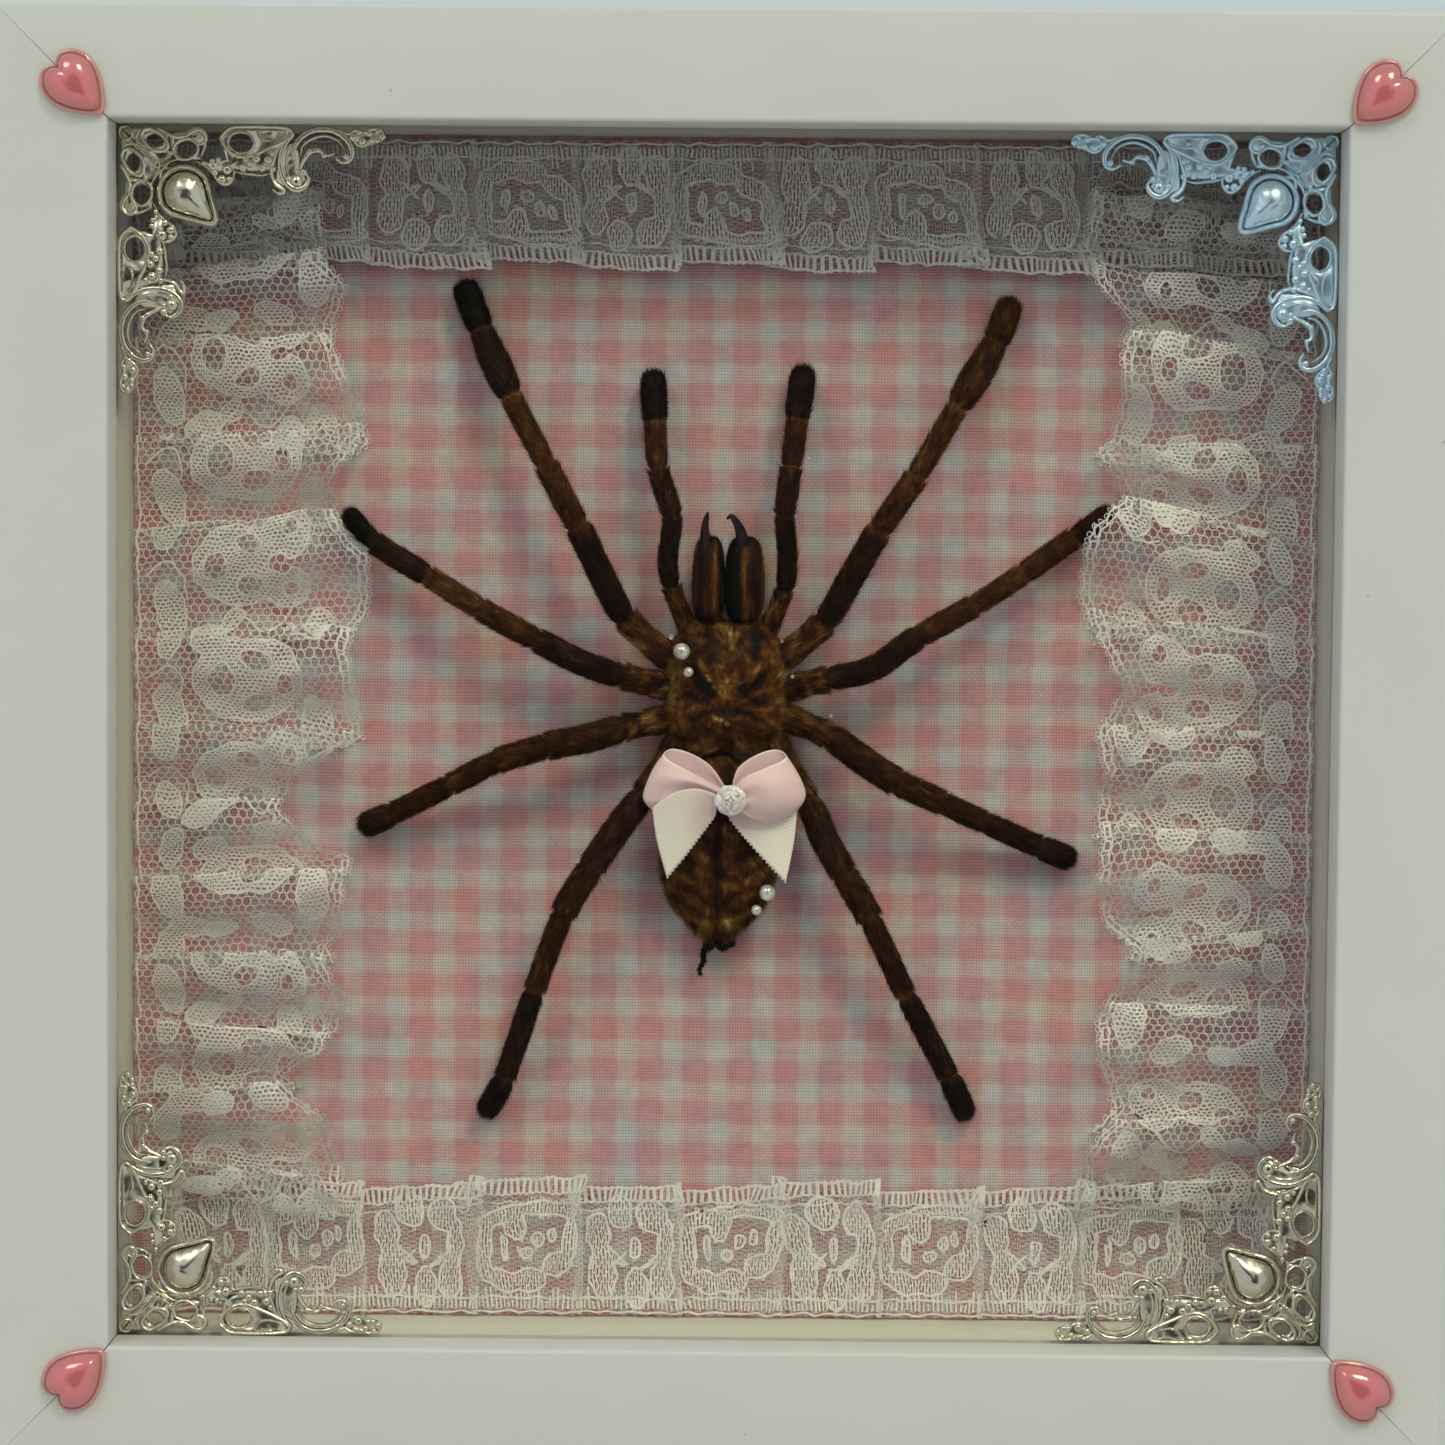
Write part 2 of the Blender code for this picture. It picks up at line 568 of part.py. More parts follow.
def build_body(material):
    carapace = rounded_body("cephalothorax", CARAPACE_CENTRE, CARAPACE_HALF, carapace_shape, 20, 10, "Y")
    add_object("cephalothorax", carapace, material)

    abdomen_mesh = rounded_body("abdomen", ABDOMEN_CENTRE, ABDOMEN_HALF, abdomen_shape, 16, 12)
    abdomen = add_object("abdomen", abdomen_mesh, material)
    tips = rounded_body("spinneret_tips", SPINNERET_CENTRE, SPINNERET_HALF, plain_shape, 10, 6)
    add_boolean(abdomen, add_cutter("spinneret_tips", tips), "UNION")
    filament = add_cutter("spinneret_filament", tapered_tube("filament", FILAMENT))
    add_boolean(abdomen, filament, "UNION")

    for side, centre in CHELICERAE.items():
        mesh = rounded_body("chelicera_" + side, centre, CHELICERA_HALF, chelicera_shape, 12, 8)
        chelicera = add_object("chelicera_" + side, mesh, material)
        fang = add_cutter("fang_" + side, tapered_tube("fang", FANGS[side]))
        add_boolean(chelicera, fang, "UNION")


def build_limbs(material):
    for name, stations in LEG_STATIONS.items():
        limb = limb_stations(stations, LEG_JOINTS, LEG_WIDTHS[name[4]])
        add_object(name, tapered_tube(name, limb), material)
    for name, stations in PALP_STATIONS.items():
        limb = limb_stations(stations, PALP_JOINTS, PALP_WIDTHS)
        add_object(name, tapered_tube(name, limb), material)


# ---------------------------------------------------------------- bow and pearls

def build_bow(satin, plastic):
    loops = [(x * MM, z * MM) for x, z in BOW_LOOPS]
    add_object("bow_loops", flat_mesh("bow_loops", [loops], BOW_DEPTH, BOW_THICKNESS), satin)
    tails = [(x * MM, z * MM) for x, z in BOW_TAILS]
    mesh = flat_mesh("bow_tails", [tails], BOW_TAILS_DEPTH, BOW_TAILS_THICKNESS)
    add_object("bow_tails", mesh, satin)
    circle = [(x * MM, z * MM) for x, z in oval(ROSE_CENTRE, ROSE_RADIUS, ROSE_RADIUS, 12)]
    centre = (ROSE_CENTRE[0] * MM, ROSE_CENTRE[1] * MM)
    rings = ((1.0, ROSE_THICKNESS * 0.5), (0.75, ROSE_THICKNESS))
    back = at_depth(ROSE_DEPTH + ROSE_THICKNESS)
    add_object("bow_rose", raised_outline("bow_rose", circle, centre, back, rings), plastic)


def build_pearls(material):
    for name, (across, up, rise, radius) in PEARLS.items():
        bm = bmesh.new()
        bmesh.ops.create_icosphere(bm, subdivisions=2, radius=radius * MM)
        mesh = finish_mesh(name, bm)
        smooth(mesh, 80)
        add_object(name, mesh, material).location = specimen_point(across, up, rise)


def build_specimen():
    build_rails(make_material("white_foil", (0.62, 0.62, 0.58), 0.45))
    build_retaining_tabs(make_material("tab_steel", (0.55, 0.55, 0.55), 0.35, 1.0))
    build_panels(make_material("clear_glass", (0.9, 0.95, 0.93), 0.02),
                 make_material("pink_gingham", (0.72, 0.42, 0.44), 0.9),
                 make_material("white_card", (0.8, 0.8, 0.76), 0.85),
                 make_material("brown_hardboard", (0.36, 0.24, 0.14), 0.8))
    build_spacers(make_material("cream_card", (0.68, 0.66, 0.58), 0.6))
    build_hearts(make_material("pink_pearl_plastic", (0.85, 0.30, 0.36), 0.12))
    build_corners(make_material("silver_plate", (0.78, 0.75, 0.68), 0.22, 1.0))
    build_lace(make_material("white_lace", (0.82, 0.80, 0.76), 0.8))
    build_body(make_material("brown_hide", (0.19, 0.09, 0.035), 0.75))
    build_limbs(make_material("dark_legs", (0.10, 0.045, 0.022), 0.75))
    build_bow(make_material("pink_satin", (0.86, 0.66, 0.62), 0.35),
              make_material("pearly_clear_plastic", (0.85, 0.85, 0.82), 0.12))
    build_pearls(make_material("white_pearl", (0.85, 0.83, 0.78), 0.15))


clear_scene()
PARTS = make_collection("framed_tarantula_specimen")
CUTTERS = make_collection("cutters")
build_specimen()
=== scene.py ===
"""A dried tarantula on gingham and lace behind the glass of a white box frame.

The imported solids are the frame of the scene. Each piece here is modelled around one of them: rails, pane,
cloth, lace, trim, the animal with its hair, its bow and its pearls. +X is the viewer's right, -Y the front
and +Z up. Places on the specimen are (across, up, rise) in mm, the rise being height above the cloth.
"""

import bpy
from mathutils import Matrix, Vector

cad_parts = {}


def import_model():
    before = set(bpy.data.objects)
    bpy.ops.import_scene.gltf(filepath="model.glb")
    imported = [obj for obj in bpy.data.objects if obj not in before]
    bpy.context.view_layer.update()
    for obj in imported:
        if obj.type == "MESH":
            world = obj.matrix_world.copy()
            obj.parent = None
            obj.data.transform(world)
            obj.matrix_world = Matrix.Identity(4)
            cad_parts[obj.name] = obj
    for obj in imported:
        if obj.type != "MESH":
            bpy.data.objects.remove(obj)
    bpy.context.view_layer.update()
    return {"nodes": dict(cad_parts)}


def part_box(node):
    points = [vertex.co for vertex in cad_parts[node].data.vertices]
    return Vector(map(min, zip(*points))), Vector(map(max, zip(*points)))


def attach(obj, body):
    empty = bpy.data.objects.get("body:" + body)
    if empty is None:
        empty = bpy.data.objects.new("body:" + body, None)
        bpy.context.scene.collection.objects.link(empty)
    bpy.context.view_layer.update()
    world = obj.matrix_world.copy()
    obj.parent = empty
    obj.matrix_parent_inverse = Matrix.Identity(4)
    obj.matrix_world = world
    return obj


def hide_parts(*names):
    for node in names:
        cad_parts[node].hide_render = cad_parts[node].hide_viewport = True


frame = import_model()

import functools
import math

import bmesh
import bpy
import numpy as np
from mathutils import Matrix, Vector, noise

bl_info = {
    "name": "Framed tarantula specimen",
    "version": (1, 0, 0),
    "blender": (4, 5, 0),
    "location": "3D View > Sidebar > Specimen",
    "description": "Models a dried tarantula in a box frame with lace, gingham, a bow and pearls",
    "category": "Object",
}

MM = 0.001
RAIL_LOW, RAIL_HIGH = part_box("rail_bottom")
FRAME_WIDTH = RAIL_HIGH.x - RAIL_LOW.x
FRAME_DEPTH = RAIL_HIGH.y - RAIL_LOW.y
FRONT_Y = RAIL_LOW.y
CLOTH_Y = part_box("gingham_cloth")[0].y
PANE_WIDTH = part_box("glass_pane")[1].x * 2
MIDDLE = FRAME_WIDTH / 2
RAIL_WIDTH = 0.0195
LIP_DEPTH = 0.0097
WALL_WIDTH = 0.0125
INSIDE = 0.1049
LACE_GAP = 0.0003
CORNERS = ("bottom_left", "top_left", "top_right", "bottom_right")
SIDES = ("bottom", "left", "top", "right")
FACING = Vector((0, -1, 0))
SORTING = Vector((1.0, 0.7071, 0.5773))  # points and faces are numbered along this slant


def linear(hex_colour):
    """An sRGB hex colour as linear red, green, blue."""
    channels = [int(hex_colour[i:i + 2], 16) / 255 for i in (1, 3, 5)]
    return tuple(c / 12.92 if c <= 0.04045 else ((c + 0.055) / 1.055) ** 2.4 for c in channels)


# ---------------------------------------------------------------- settings

def colour_property(name, description, hex_colour):
    return bpy.props.FloatVectorProperty(
        name=name, description=description, default=linear(hex_colour), subtype="COLOR", min=0, max=1)


def length_property(name, description, millimetres):
    return bpy.props.FloatProperty(
        name=name, description=description, default=millimetres * MM, min=0, unit="LENGTH", precision=5)


class FrameSettings(bpy.types.PropertyGroup):
    foil: colour_property("Foil", "Colour of the white foil on the rails", "#dedddb")
    card: colour_property("Card", "Colour of the card strips behind the glass", "#cfcdc4")
    arris: length_property("Arris", "Radius of the rails' long edges", 0.8)


class ClothSettings(bpy.types.PropertyGroup):
    pink: colour_property("Pink thread", "Colour of the dyed threads", "#d69ea5")
    white: colour_property("White thread", "Colour of the undyed threads", "#d3ced0")
    check_width: length_property("Check width", "Width of a white and a pink stripe together", 8.2)
    check_height: length_property("Check height", "Height of a white and a pink stripe together", 7.55)


class LaceSettings(bpy.types.PropertyGroup):
    thread: colour_property("Thread", "Colour of the lace thread", "#fbf9f6")
    net_pitch: length_property("Net pitch", "Distance between the holes of the wide lace's net", 1.52)
    net_thread: length_property("Net thread", "Width of a thread of the net", 0.25)
    outline: length_property("Outline", "Width of the cord around a motif", 0.36)
    rise: length_property("Rise", "Height of the wide lace's folds above the cloth", 8.5)


class TarantulaSettings(bpy.types.PropertyGroup):
    hair_width: length_property("Hair width", "Thickness of a hair at its root", 0.11)
    hair_length: length_property("Hair length", "Length of the hair on the legs", 1.5)
    hairs: bpy.props.IntProperty(name="Hairs", description="Hairs on each leg", default=10000, min=0)


class TrimSettings(bpy.types.PropertyGroup):
    silver: colour_property("Silver", "Colour of the plated corners", "#dbd2be")
    heart: colour_property("Heart", "Colour of the pearly hearts", "#ec7f88")
    satin: colour_property("Satin", "Colour of the bow's ribbon", "#e6c5c8")
    pearl: colour_property("Pearl", "Colour of the half pearls", "#f0ebe4")


class StageSettings(bpy.types.PropertyGroup):
    floor: colour_property("Floor", "Colour of the floor", "#e4e0d8")
    key_power: bpy.props.FloatProperty(
        name="Key", description="Power of the warm lamp above at the right", default=50.0,
        min=0, unit="POWER")
    fill_power: bpy.props.FloatProperty(
        name="Fill", description="Power of the cooler lamp above at the left", default=27.0,
        min=0, unit="POWER")


# ---------------------------------------------------------------- materials

def add_node(tree, kind, *inputs, sockets=None, stops=(), **settings):
    """Adds a node, or takes one that is there, and sets it. Nodes and outputs that are given are linked."""
    new = tree.nodes.new("ShaderNode" + kind) if isinstance(kind, str) else kind
    ramp = new.color_ramp.elements if stops else ()
    while len(ramp) < len(stops):
        ramp.new(1.0)
    for element, (position, colour) in zip(ramp, stops):
        element.position = position
        element.color = base(linear(colour))
    for name, value in {**settings, **dict(enumerate(inputs)), **(sockets or {})}.items():
        if isinstance(value, bpy.types.Node):
            value = value.outputs[0]
        if isinstance(value, bpy.types.NodeSocket):
            tree.links.new(value, new.inputs[name])
        elif not (isinstance(name, int) or name in new.inputs):
            setattr(new, name, value)
        elif value is not None:
            new.inputs[name].default_value = value
    return new


def new_material(name, sockets):
    """A material, the function that adds nodes to it, and its Principled shader with its sockets set."""
    material = bpy.data.materials.new(name)
    material.use_nodes = True
    node = functools.partial(add_node, material.node_tree)
    return material, node, node(material.node_tree.nodes["Principled BSDF"], sockets=sockets)


def base(colour):
    return (*colour, 1.0)


def foil_material(settings):
    """White melamine foil wrapped on fibreboard: an even satin skin with faint mottling and specks."""
    material, node, shader = new_material("white_melamine_foil", {"Roughness": 0.42, "IOR": 1.5})
    place = node("TexCoord").outputs["Object"]
    mottle = node("TexNoise", place, Scale=45, Detail=3)
    grain = node("TexNoise", place, Scale=2200, Detail=2)
    specks = node("TexVoronoi", place, Scale=75)
    dirt = node("MapRange", specks.outputs["Distance"], 0.012, 0.03, 0.55, 1.0)
    shade = node("MapRange", mottle, 0.3, 0.7, 0.955, 1.0)
    darker = node("Math", shade, dirt, operation="MULTIPLY")
    tint = node("Mix", darker, sockets={6: (0.3, 0.28, 0.24, 1), 7: base(settings.foil)}, data_type="RGBA")
    bump = node("Bump", Strength=0.08, Distance=0.00004, Height=grain)
    node(shader, sockets={"Base Color": tint.outputs[2], "Normal": bump})
    return material


def card_material(name, colour, dark, fibre_mm):
    """Pulp board, pressed: soft mottling with fibres of fibre_mm."""
    material, node, shader = new_material(name, {"Roughness": 0.8, "IOR": 1.5})
    place = node("TexCoord").outputs["Object"]
    fibres = node("TexNoise", place, Scale=1 / (fibre_mm * MM), Detail=4, Distortion=1.5)
    tint = node("Mix", fibres, sockets={6: base(dark), 7: base(colour)}, data_type="RGBA")
    bump = node("Bump", Strength=0.25, Distance=0.0001, Height=fibres)
    node(shader, sockets={"Base Color": tint.outputs[2], "Normal": bump})
    return material


def tab_material():
    """Spring steel, punched and bright, with drawn scratches about 0.1 mm apart."""
    material, node, shader = new_material("punched_spring_steel", {"Metallic": 1.0, "Roughness": 0.3})
    place = node("TexCoord").outputs["Object"]
    along = node("Mapping", place, Scale=(9000, 9000, 400))
    lines = node("TexNoise", along, Scale=1, Detail=2)
    tint = node("ValToRGB", lines, stops=[(0.3, "#7d7d7a"), (0.7, "#c4c4c0")])
    rough = node("MapRange", lines, None, None, 0.22, 0.45)
    node(shader, sockets={"Base Color": tint, "Roughness": rough})
    return material


def glass_material():
    """Clear float glass, 2 mm: flat, smooth and nearly without colour."""
    return new_material("clear_float_glass", {
        "Base Color": (0.985, 0.995, 0.99, 1), "Roughness": 0.0, "IOR": 1.5, "Transmission Weight": 1.0})[0]


def gingham_material(settings):
    """Plain-woven cotton gingham: white and pink threads cross, so a check of both is mixed thread by thread.

    The threads are half a millimetre apart. The seams between them, deepest between the rows, and an open
    pinhole between every four are darkened with painted shade."""
    material, node, shader = new_material("plain_woven_cotton_gingham", {
        "Roughness": 0.85, "IOR": 1.5, "Sheen Weight": 0.15, "Sheen Roughness": 0.5})
    place = node("TexCoord").outputs["Object"]
    drift = node("TexNoise", place, Scale=40, Detail=1)
    shift = node("VectorMath", drift.outputs["Color"], (0.0009,) * 3, place, operation="MULTIPLY_ADD")
    axes = node("SeparateXYZ", shift)
    numbers, gaps, dyes = [], [], []
    for axis, pitch_mm, stripe, start in ((0, 0.5, settings.check_width, -0.0411),
                                          (2, 0.54, settings.check_height, 0.2043)):
        count = node("Math", axes.outputs[axis], pitch_mm * MM, operation="DIVIDE")
        numbers.append(node("Math", count, operation="FLOOR"))
        across = node("Math", count, 0.5, operation="PINGPONG")
        gaps.append(node("MapRange", across, 0.04, 0.27, 1.0, 0.0))
        period = node("Math", axes.outputs[axis], 1 / stripe, 0.5 - start / stripe, operation="MULTIPLY_ADD")
        wave = node("Math", period, 0.5, operation="PINGPONG")
        dyes.append(node("MapRange", wave, 0.18, 0.36, 1.0, 0.0, interpolation_type="SMOOTHSTEP"))
    both = node("Math", numbers[0], numbers[1], operation="ADD")
    over = node("Math", both, 2.0, operation="FLOORED_MODULO")
    share = node("MapRange", over, None, None, 0.4, 0.6)
    dyed = node("Mix", share, None, dyes[1], dyes[0], data_type="FLOAT")
    bled = node("MapRange", dyed.outputs[0], 0.0, 0.88)
    colour = node("Mix", bled, sockets={6: base(settings.white), 7: base(settings.pink)}, data_type="RGBA")
    faded = node("TexNoise", place, Scale=95, Detail=2)
    cast = node("ValToRGB", faded, stops=[(0.3, "#ebf4fa"), (0.5, "#f7f3f3"), (0.68, "#fdf0e2")])
    tinted = node("Mix", 1.0, sockets={6: colour.outputs[2], 7: cast}, data_type="RGBA",
                  blend_type="MULTIPLY")
    # Painted shade: the colour darkens in the seams between the threads, most between the rows and in the
    # pinholes.
    pinhole = node("Math", gaps[0], gaps[1], operation="MULTIPLY")
    rows = node("Math", gaps[1], 0.8, pinhole, operation="MULTIPLY_ADD")
    depth = node("Math", gaps[0], 0.6, rows, operation="MULTIPLY_ADD")
    slub = node("TexNoise", place, Scale=420, Detail=3)
    uneven = node("MapRange", slub, 0.3, 0.7, 0.9, 1.08)
    shade = node("Math", uneven, node("MapRange", depth, 0.0, 2.4, 1.1, 0.46), operation="MULTIPLY")
    tint = node("VectorMath", tinted.outputs[2], None, None, shade, operation="SCALE")
    bump = node("Bump", Strength=0.4, Distance=0.00012, invert=True, Height=depth)
    node(shader, sockets={"Base Color": tint, "Normal": bump})
    return material


def lace_material(settings):
    """Machine lace of bright polyester thread, with slubs about a millimetre long."""
    material, node, shader = new_material("white_polyester_lace", {
        "Roughness": 0.6, "IOR": 1.5, "Sheen Weight": 0.3, "Sheen Roughness": 0.4})
    place = node("TexCoord").outputs["Object"]
    slub = node("TexNoise", place, Scale=900, Detail=2)
    cast = node("TexNoise", place, Scale=28, Detail=2)
    shade = node("MapRange", slub, 0.3, 0.7, 0.86, 1.0)
    warm = node("Mix", cast, sockets={6: base(linear("#ebe4e1")), 7: base(settings.thread)}, data_type="RGBA")
    tint = node("VectorMath", warm.outputs[2], None, None, shade, operation="SCALE")
    bump = node("Bump", Strength=0.3, Distance=0.00005, Height=slub)
    node(shader, sockets={"Base Color": tint, "Normal": bump})
    return material


def hide_material(name, gloss):
    """Dry tarantula cuticle under short hair. Its tone runs from black through red-brown and gold to tan."""
    material, node, shader = new_material(name, {"IOR": 1.5, "Specular IOR Level": 0.16})
    tone = node("Attribute", attribute_name="tone").outputs["Fac"]
    strand = node("Attribute", attribute_name="strand").outputs["Fac"]
    grain = node("Attribute", attribute_name="grain").outputs["Vector"]
    streak = node("TexNoise", grain, Scale=0.95, Detail=4, Roughness=0.7)
    streaky = node("MapRange", streak, 0.32, 0.68, -0.15, 0.15)
    haired = node("MapRange", strand, 0.0, 1.0, -0.2, 0.2)
    first = node("Math", tone, streaky, operation="ADD")
    level = node("Math", first, haired, operation="ADD")
    tint = node("ValToRGB", level, stops=[
        (0.0, "#040201"), (0.18, "#160803"), (0.34, "#311407"), (0.5, "#502a0c"), (0.66, "#724818"),
        (0.82, "#98743b"), (1.0, "#d3c29c")])
    rough = node("MapRange", streak, None, None, gloss + 0.18, gloss)
    bump = node("Bump", Strength=0.5, Distance=0.0002, Height=streak)
    node(shader, sockets={"Base Color": tint, "Roughness": rough, "Normal": bump})
    return material


def fang_material():
    """Bare black chitin, polished, with a purple cast towards the root."""
    material, node, shader = new_material("polished_black_chitin", {
        "Roughness": 0.3, "IOR": 1.56, "Specular IOR Level": 0.2, "Coat Weight": 0.2, "Coat Roughness": 0.08})
    place = node("TexCoord").outputs["Object"]
    cloud = node("TexNoise", place, Scale=500, Detail=2)
    tint = node("ValToRGB", cloud, stops=[(0.35, "#060405"), (0.7, "#2a1320")])
    node(shader, sockets={"Base Color": tint})
    return material


def silver_material(name, colour, tarnish_and_shade, metallic, rough_low):
    """Stamped brass under a silver plate: uneven, bright where it is raised, and dark in the recesses with
    tarnish and painted shade.
    """
    material, node, shader = new_material(name, {"Metallic": metallic})
    place = node("TexCoord").outputs["Object"]
    axes = node("SeparateXYZ", place)
    cloud = node("TexNoise", place, Scale=260, Detail=3)
    dents = node("TexNoise", place, Scale=300, Detail=1, Distortion=0.8)
    # The plate darkens where it lies low: tarnish in the recesses, and painted shade in place of dark
    # reflections.
    low = node("MapRange", axes.outputs[1], FRONT_Y + 0.0093, FRONT_Y + 0.0089)
    worn = node("Math", cloud, 0.5, -0.15, operation="MULTIPLY_ADD", use_clamp=True)
    bright = node("Math", low, worn, operation="ADD", use_clamp=True)
    tint = node("Mix", bright, sockets={6: base(tarnish_and_shade), 7: base(colour)}, data_type="RGBA")
    rough = node("MapRange", cloud, 0.3, 0.7, rough_low + 0.16, rough_low)
    bump = node("Bump", Strength=0.7, Distance=0.0006, Height=dents)
    node(shader, sockets={"Base Color": tint.outputs[2], "Roughness": rough, "Normal": bump})
    return material


def heart_material(settings):
    """Pink acrylic with a pearly film: raspberry dome, peach rim, gold to violet where it curves away; the
    violet is a painted sheen.
    """
    material, node, shader = new_material("pearly_pink_acrylic", {
        "Roughness": 0.14, "IOR": 1.49, "Coat Weight": 0.7, "Coat Roughness": 0.03, "Coat IOR": 1.5,
        "Metallic": 0.25, "Thin Film Thickness": 430.0, "Thin Film IOR": 1.7})
    place = node("TexCoord").outputs["Object"]
    axes = node("SeparateXYZ", place)
    dome = node("MapRange", axes.outputs[1], FRONT_Y - 0.0012, FRONT_Y - 0.002)
    body = node("Mix", dome, sockets={6: base(linear("#e79f9b")), 7: base(settings.heart)}, data_type="RGBA")
    # Painted sheen: the colour turns violet where the surface turns away from the eye.
    gloss = node("LayerWeight", Blend=0.3)
    tint = node("Mix", gloss.outputs["Facing"], sockets={6: body.outputs[2], 7: base(linear("#b9607f"))},
                data_type="RGBA")
    swirl = node("TexNoise", place, Scale=300, Detail=2, Distortion=1.0)
    bump = node("Bump", Strength=0.3, Distance=0.0003, Height=swirl)
    node(shader, sockets={"Base Color": tint.outputs[2], "Normal": bump})
    return material


def satin_material(name, near, far, rib_mm, rib_depth):
    """Woven polyester satin: a soft gleam and fine ribs along it, read from the ribbon's own UV in mm.

    Its colour near the knot goes over into the far one."""
    material, node, shader = new_material(name, {
        "IOR": 1.5, "Sheen Weight": 0.4, "Sheen Roughness": 0.3, "Anisotropic": 0.5,
        "Emission Strength": 0.06})  # painted glow: the ribbon gives off a faint light of its own colour
    uv = node("UVMap", uv_map="ribbon")
    axes = node("SeparateXYZ", uv)
    count = node("Math", axes.outputs[1], rib_mm, operation="DIVIDE")
    rib = node("Math", count, 0.5, operation="PINGPONG")
    across = node("Math", axes.outputs[0], rib_mm * 0.8, operation="DIVIDE")
    float_ = node("Math", across, 0.5, operation="PINGPONG")
    weave = node("Math", float_, 0.35, rib, operation="MULTIPLY_ADD")
    shade = node("MapRange", weave, 0.0, 0.45, 1 - rib_depth, 1.0)
    middle = node("Math", axes.outputs[1], 5.05, operation="SUBTRACT")
    out = node("Math", middle, operation="ABSOLUTE")
    # Both edges of the ribbon pale to near white: a paler woven edge with a painted highlight along it.
    selvedge_and_highlight = node("MapRange", out, 4.6, 4.8, None, 0.7)
    turned = node("MapRange", axes.outputs[0], 2.0, 9.0)
    cloth = node("Mix", turned, sockets={6: base(near), 7: base(far)}, data_type="RGBA")
    face = node("Mix", selvedge_and_highlight, sockets={6: cloth.outputs[2], 7: base(linear("#f3e9e4"))}, data_type="RGBA")
    tint = node("VectorMath", face.outputs[2], None, None, shade, operation="SCALE")
    rough = node("MapRange", weave, 0.0, 0.7, 0.5, 0.34)
    bump = node("Bump", Strength=0.35, Distance=0.00008, Height=weave)
    node(shader, sockets={"Base Color": tint, "Emission Color": tint, "Roughness": rough, "Normal": bump})
    return material


def pearl_material(name, colour, coat):
    """A nacre film on plastic: milky, with a faint rainbow and a hard gloss."""
    material, node, shader = new_material(name, {
        "Roughness": 0.12, "IOR": 1.6, "Metallic": 0.5, "Coat Weight": coat, "Coat Roughness": 0.02,
        "Thin Film Thickness": 320.0, "Thin Film IOR": 1.6, "Subsurface Weight": 0.15,
        "Subsurface Radius": (0.0006, 0.0005, 0.0004)})
    place = node("TexCoord").outputs["Object"]
    cloud = node("TexNoise", place, Scale=700, Detail=2)
    tint = node("Mix", node("MapRange", cloud, 0.2, 0.6),
                sockets={6: base(linear("#a7a1a4")), 7: base(colour)}, data_type="RGBA")
    node(shader, sockets={"Base Color": tint.outputs[2]})
    return material


def rose_material():
    """Clear resin with a rainbow film: nearly white, glassy, with blue and pink glints."""
    material, node, shader = new_material("iridescent_clear_resin", {
        "Roughness": 0.12, "IOR": 1.5, "Coat Weight": 1.0, "Coat Roughness": 0.03,
        "Transmission Weight": 0.15, "Thin Film Thickness": 480.0, "Thin Film IOR": 1.8})
    place = node("TexCoord").outputs["Object"]
    cloud = node("TexNoise", place, Scale=900, Detail=1)
    tint = node("ValToRGB", cloud, stops=[(0.3, "#e9f2f8"), (0.5, "#fcf8f2"), (0.7, "#fae8e6")])
    node(shader, sockets={"Base Color": tint})
    return material


def floor_material(settings):
    """A painted table top, matt, with a barely seen mottle."""
    material, node, shader = new_material("pale_painted_board", {"Roughness": 0.7})
    place = node("TexCoord").outputs["Object"]
    cloud = node("TexNoise", place, Scale=12, Detail=2)
    shade = node("MapRange", cloud, None, None, 0.96, 1.02)
    tint = node("VectorMath", tuple(settings.floor), None, None, shade, operation="SCALE")
    node(shader, sockets={"Base Color": tint})
    return material


# ---------------------------------------------------------------- shared modelling

def place(across, up, rise):
    """World place of a point of the specimen, given in mm."""
    return Vector((across * MM, CLOTH_Y - rise * MM, up * MM))


def quarter_turn(turns):
    """Turns a piece made about the origin round the frame's middle."""
    return Matrix.Translation((0, 0, MIDDLE)) @ Matrix.Rotation(math.radians(90 * turns), 4, "Y")


def finish_mesh(name, bm, outwards=True):
    """The finished mesh, its points and faces sorted by place so that each run numbers them alike."""
    if outwards:
        bmesh.ops.recalc_face_normals(bm, faces=bm.faces)
    bm.verts.sort(key=lambda vert: vert.co.dot(SORTING))
    bm.faces.sort(key=lambda face: face.calc_center_median().dot(SORTING))
    mesh = bpy.data.meshes.new(name)
    bm.to_mesh(mesh)
    bm.free()
    return mesh


def add_piece(name, mesh, material, stands_for=(), crease=None):
    """Shows a finished mesh as a piece of the specimen that rides on its one body."""
    thing = bpy.data.objects.new(name, mesh)
    bpy.context.scene.collection.objects.link(thing)
    mesh.materials.append(material)
    mesh.shade_smooth()
    if crease:
        mesh.set_sharp_from_angle(angle=math.radians(crease))
    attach(thing, "root")
    if stands_for:
        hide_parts(*stands_for)
    return thing


def smooth_path(points, steps):
    """The smooth curve through the points, with steps places to each span."""
    points = [Vector(p) for p in points]
    count = len(points)
    path = []
    for index in range(count - 1):
        before, start, end, after = [points[min(max(index + k, 0), count - 1)] for k in (-1, 0, 1, 2)]
        for step in range(steps):
            t = step / steps
            path.append(0.5 * (2 * start + (end - before) * t
                               + (2 * before - 5 * start + 4 * end - after) * t * t
                               + (3 * start - before - 3 * end + after) * t ** 3))
    path.append(points[-1])
    return path


def section(centre, along, facing, width, height):
    """Where a unit circle goes as the cross section of a tube: width across, height towards facing."""
    forward = Vector(along).normalized()
    side = forward.cross(facing).normalized()
    up = side.cross(forward)
    turn = Matrix((side * width, up * height, forward)).transposed().to_4x4()
    return Matrix.Translation(centre) @ turn


def of_kind(kind, geometry):
    return [item for item in geometry if isinstance(item, kind)]


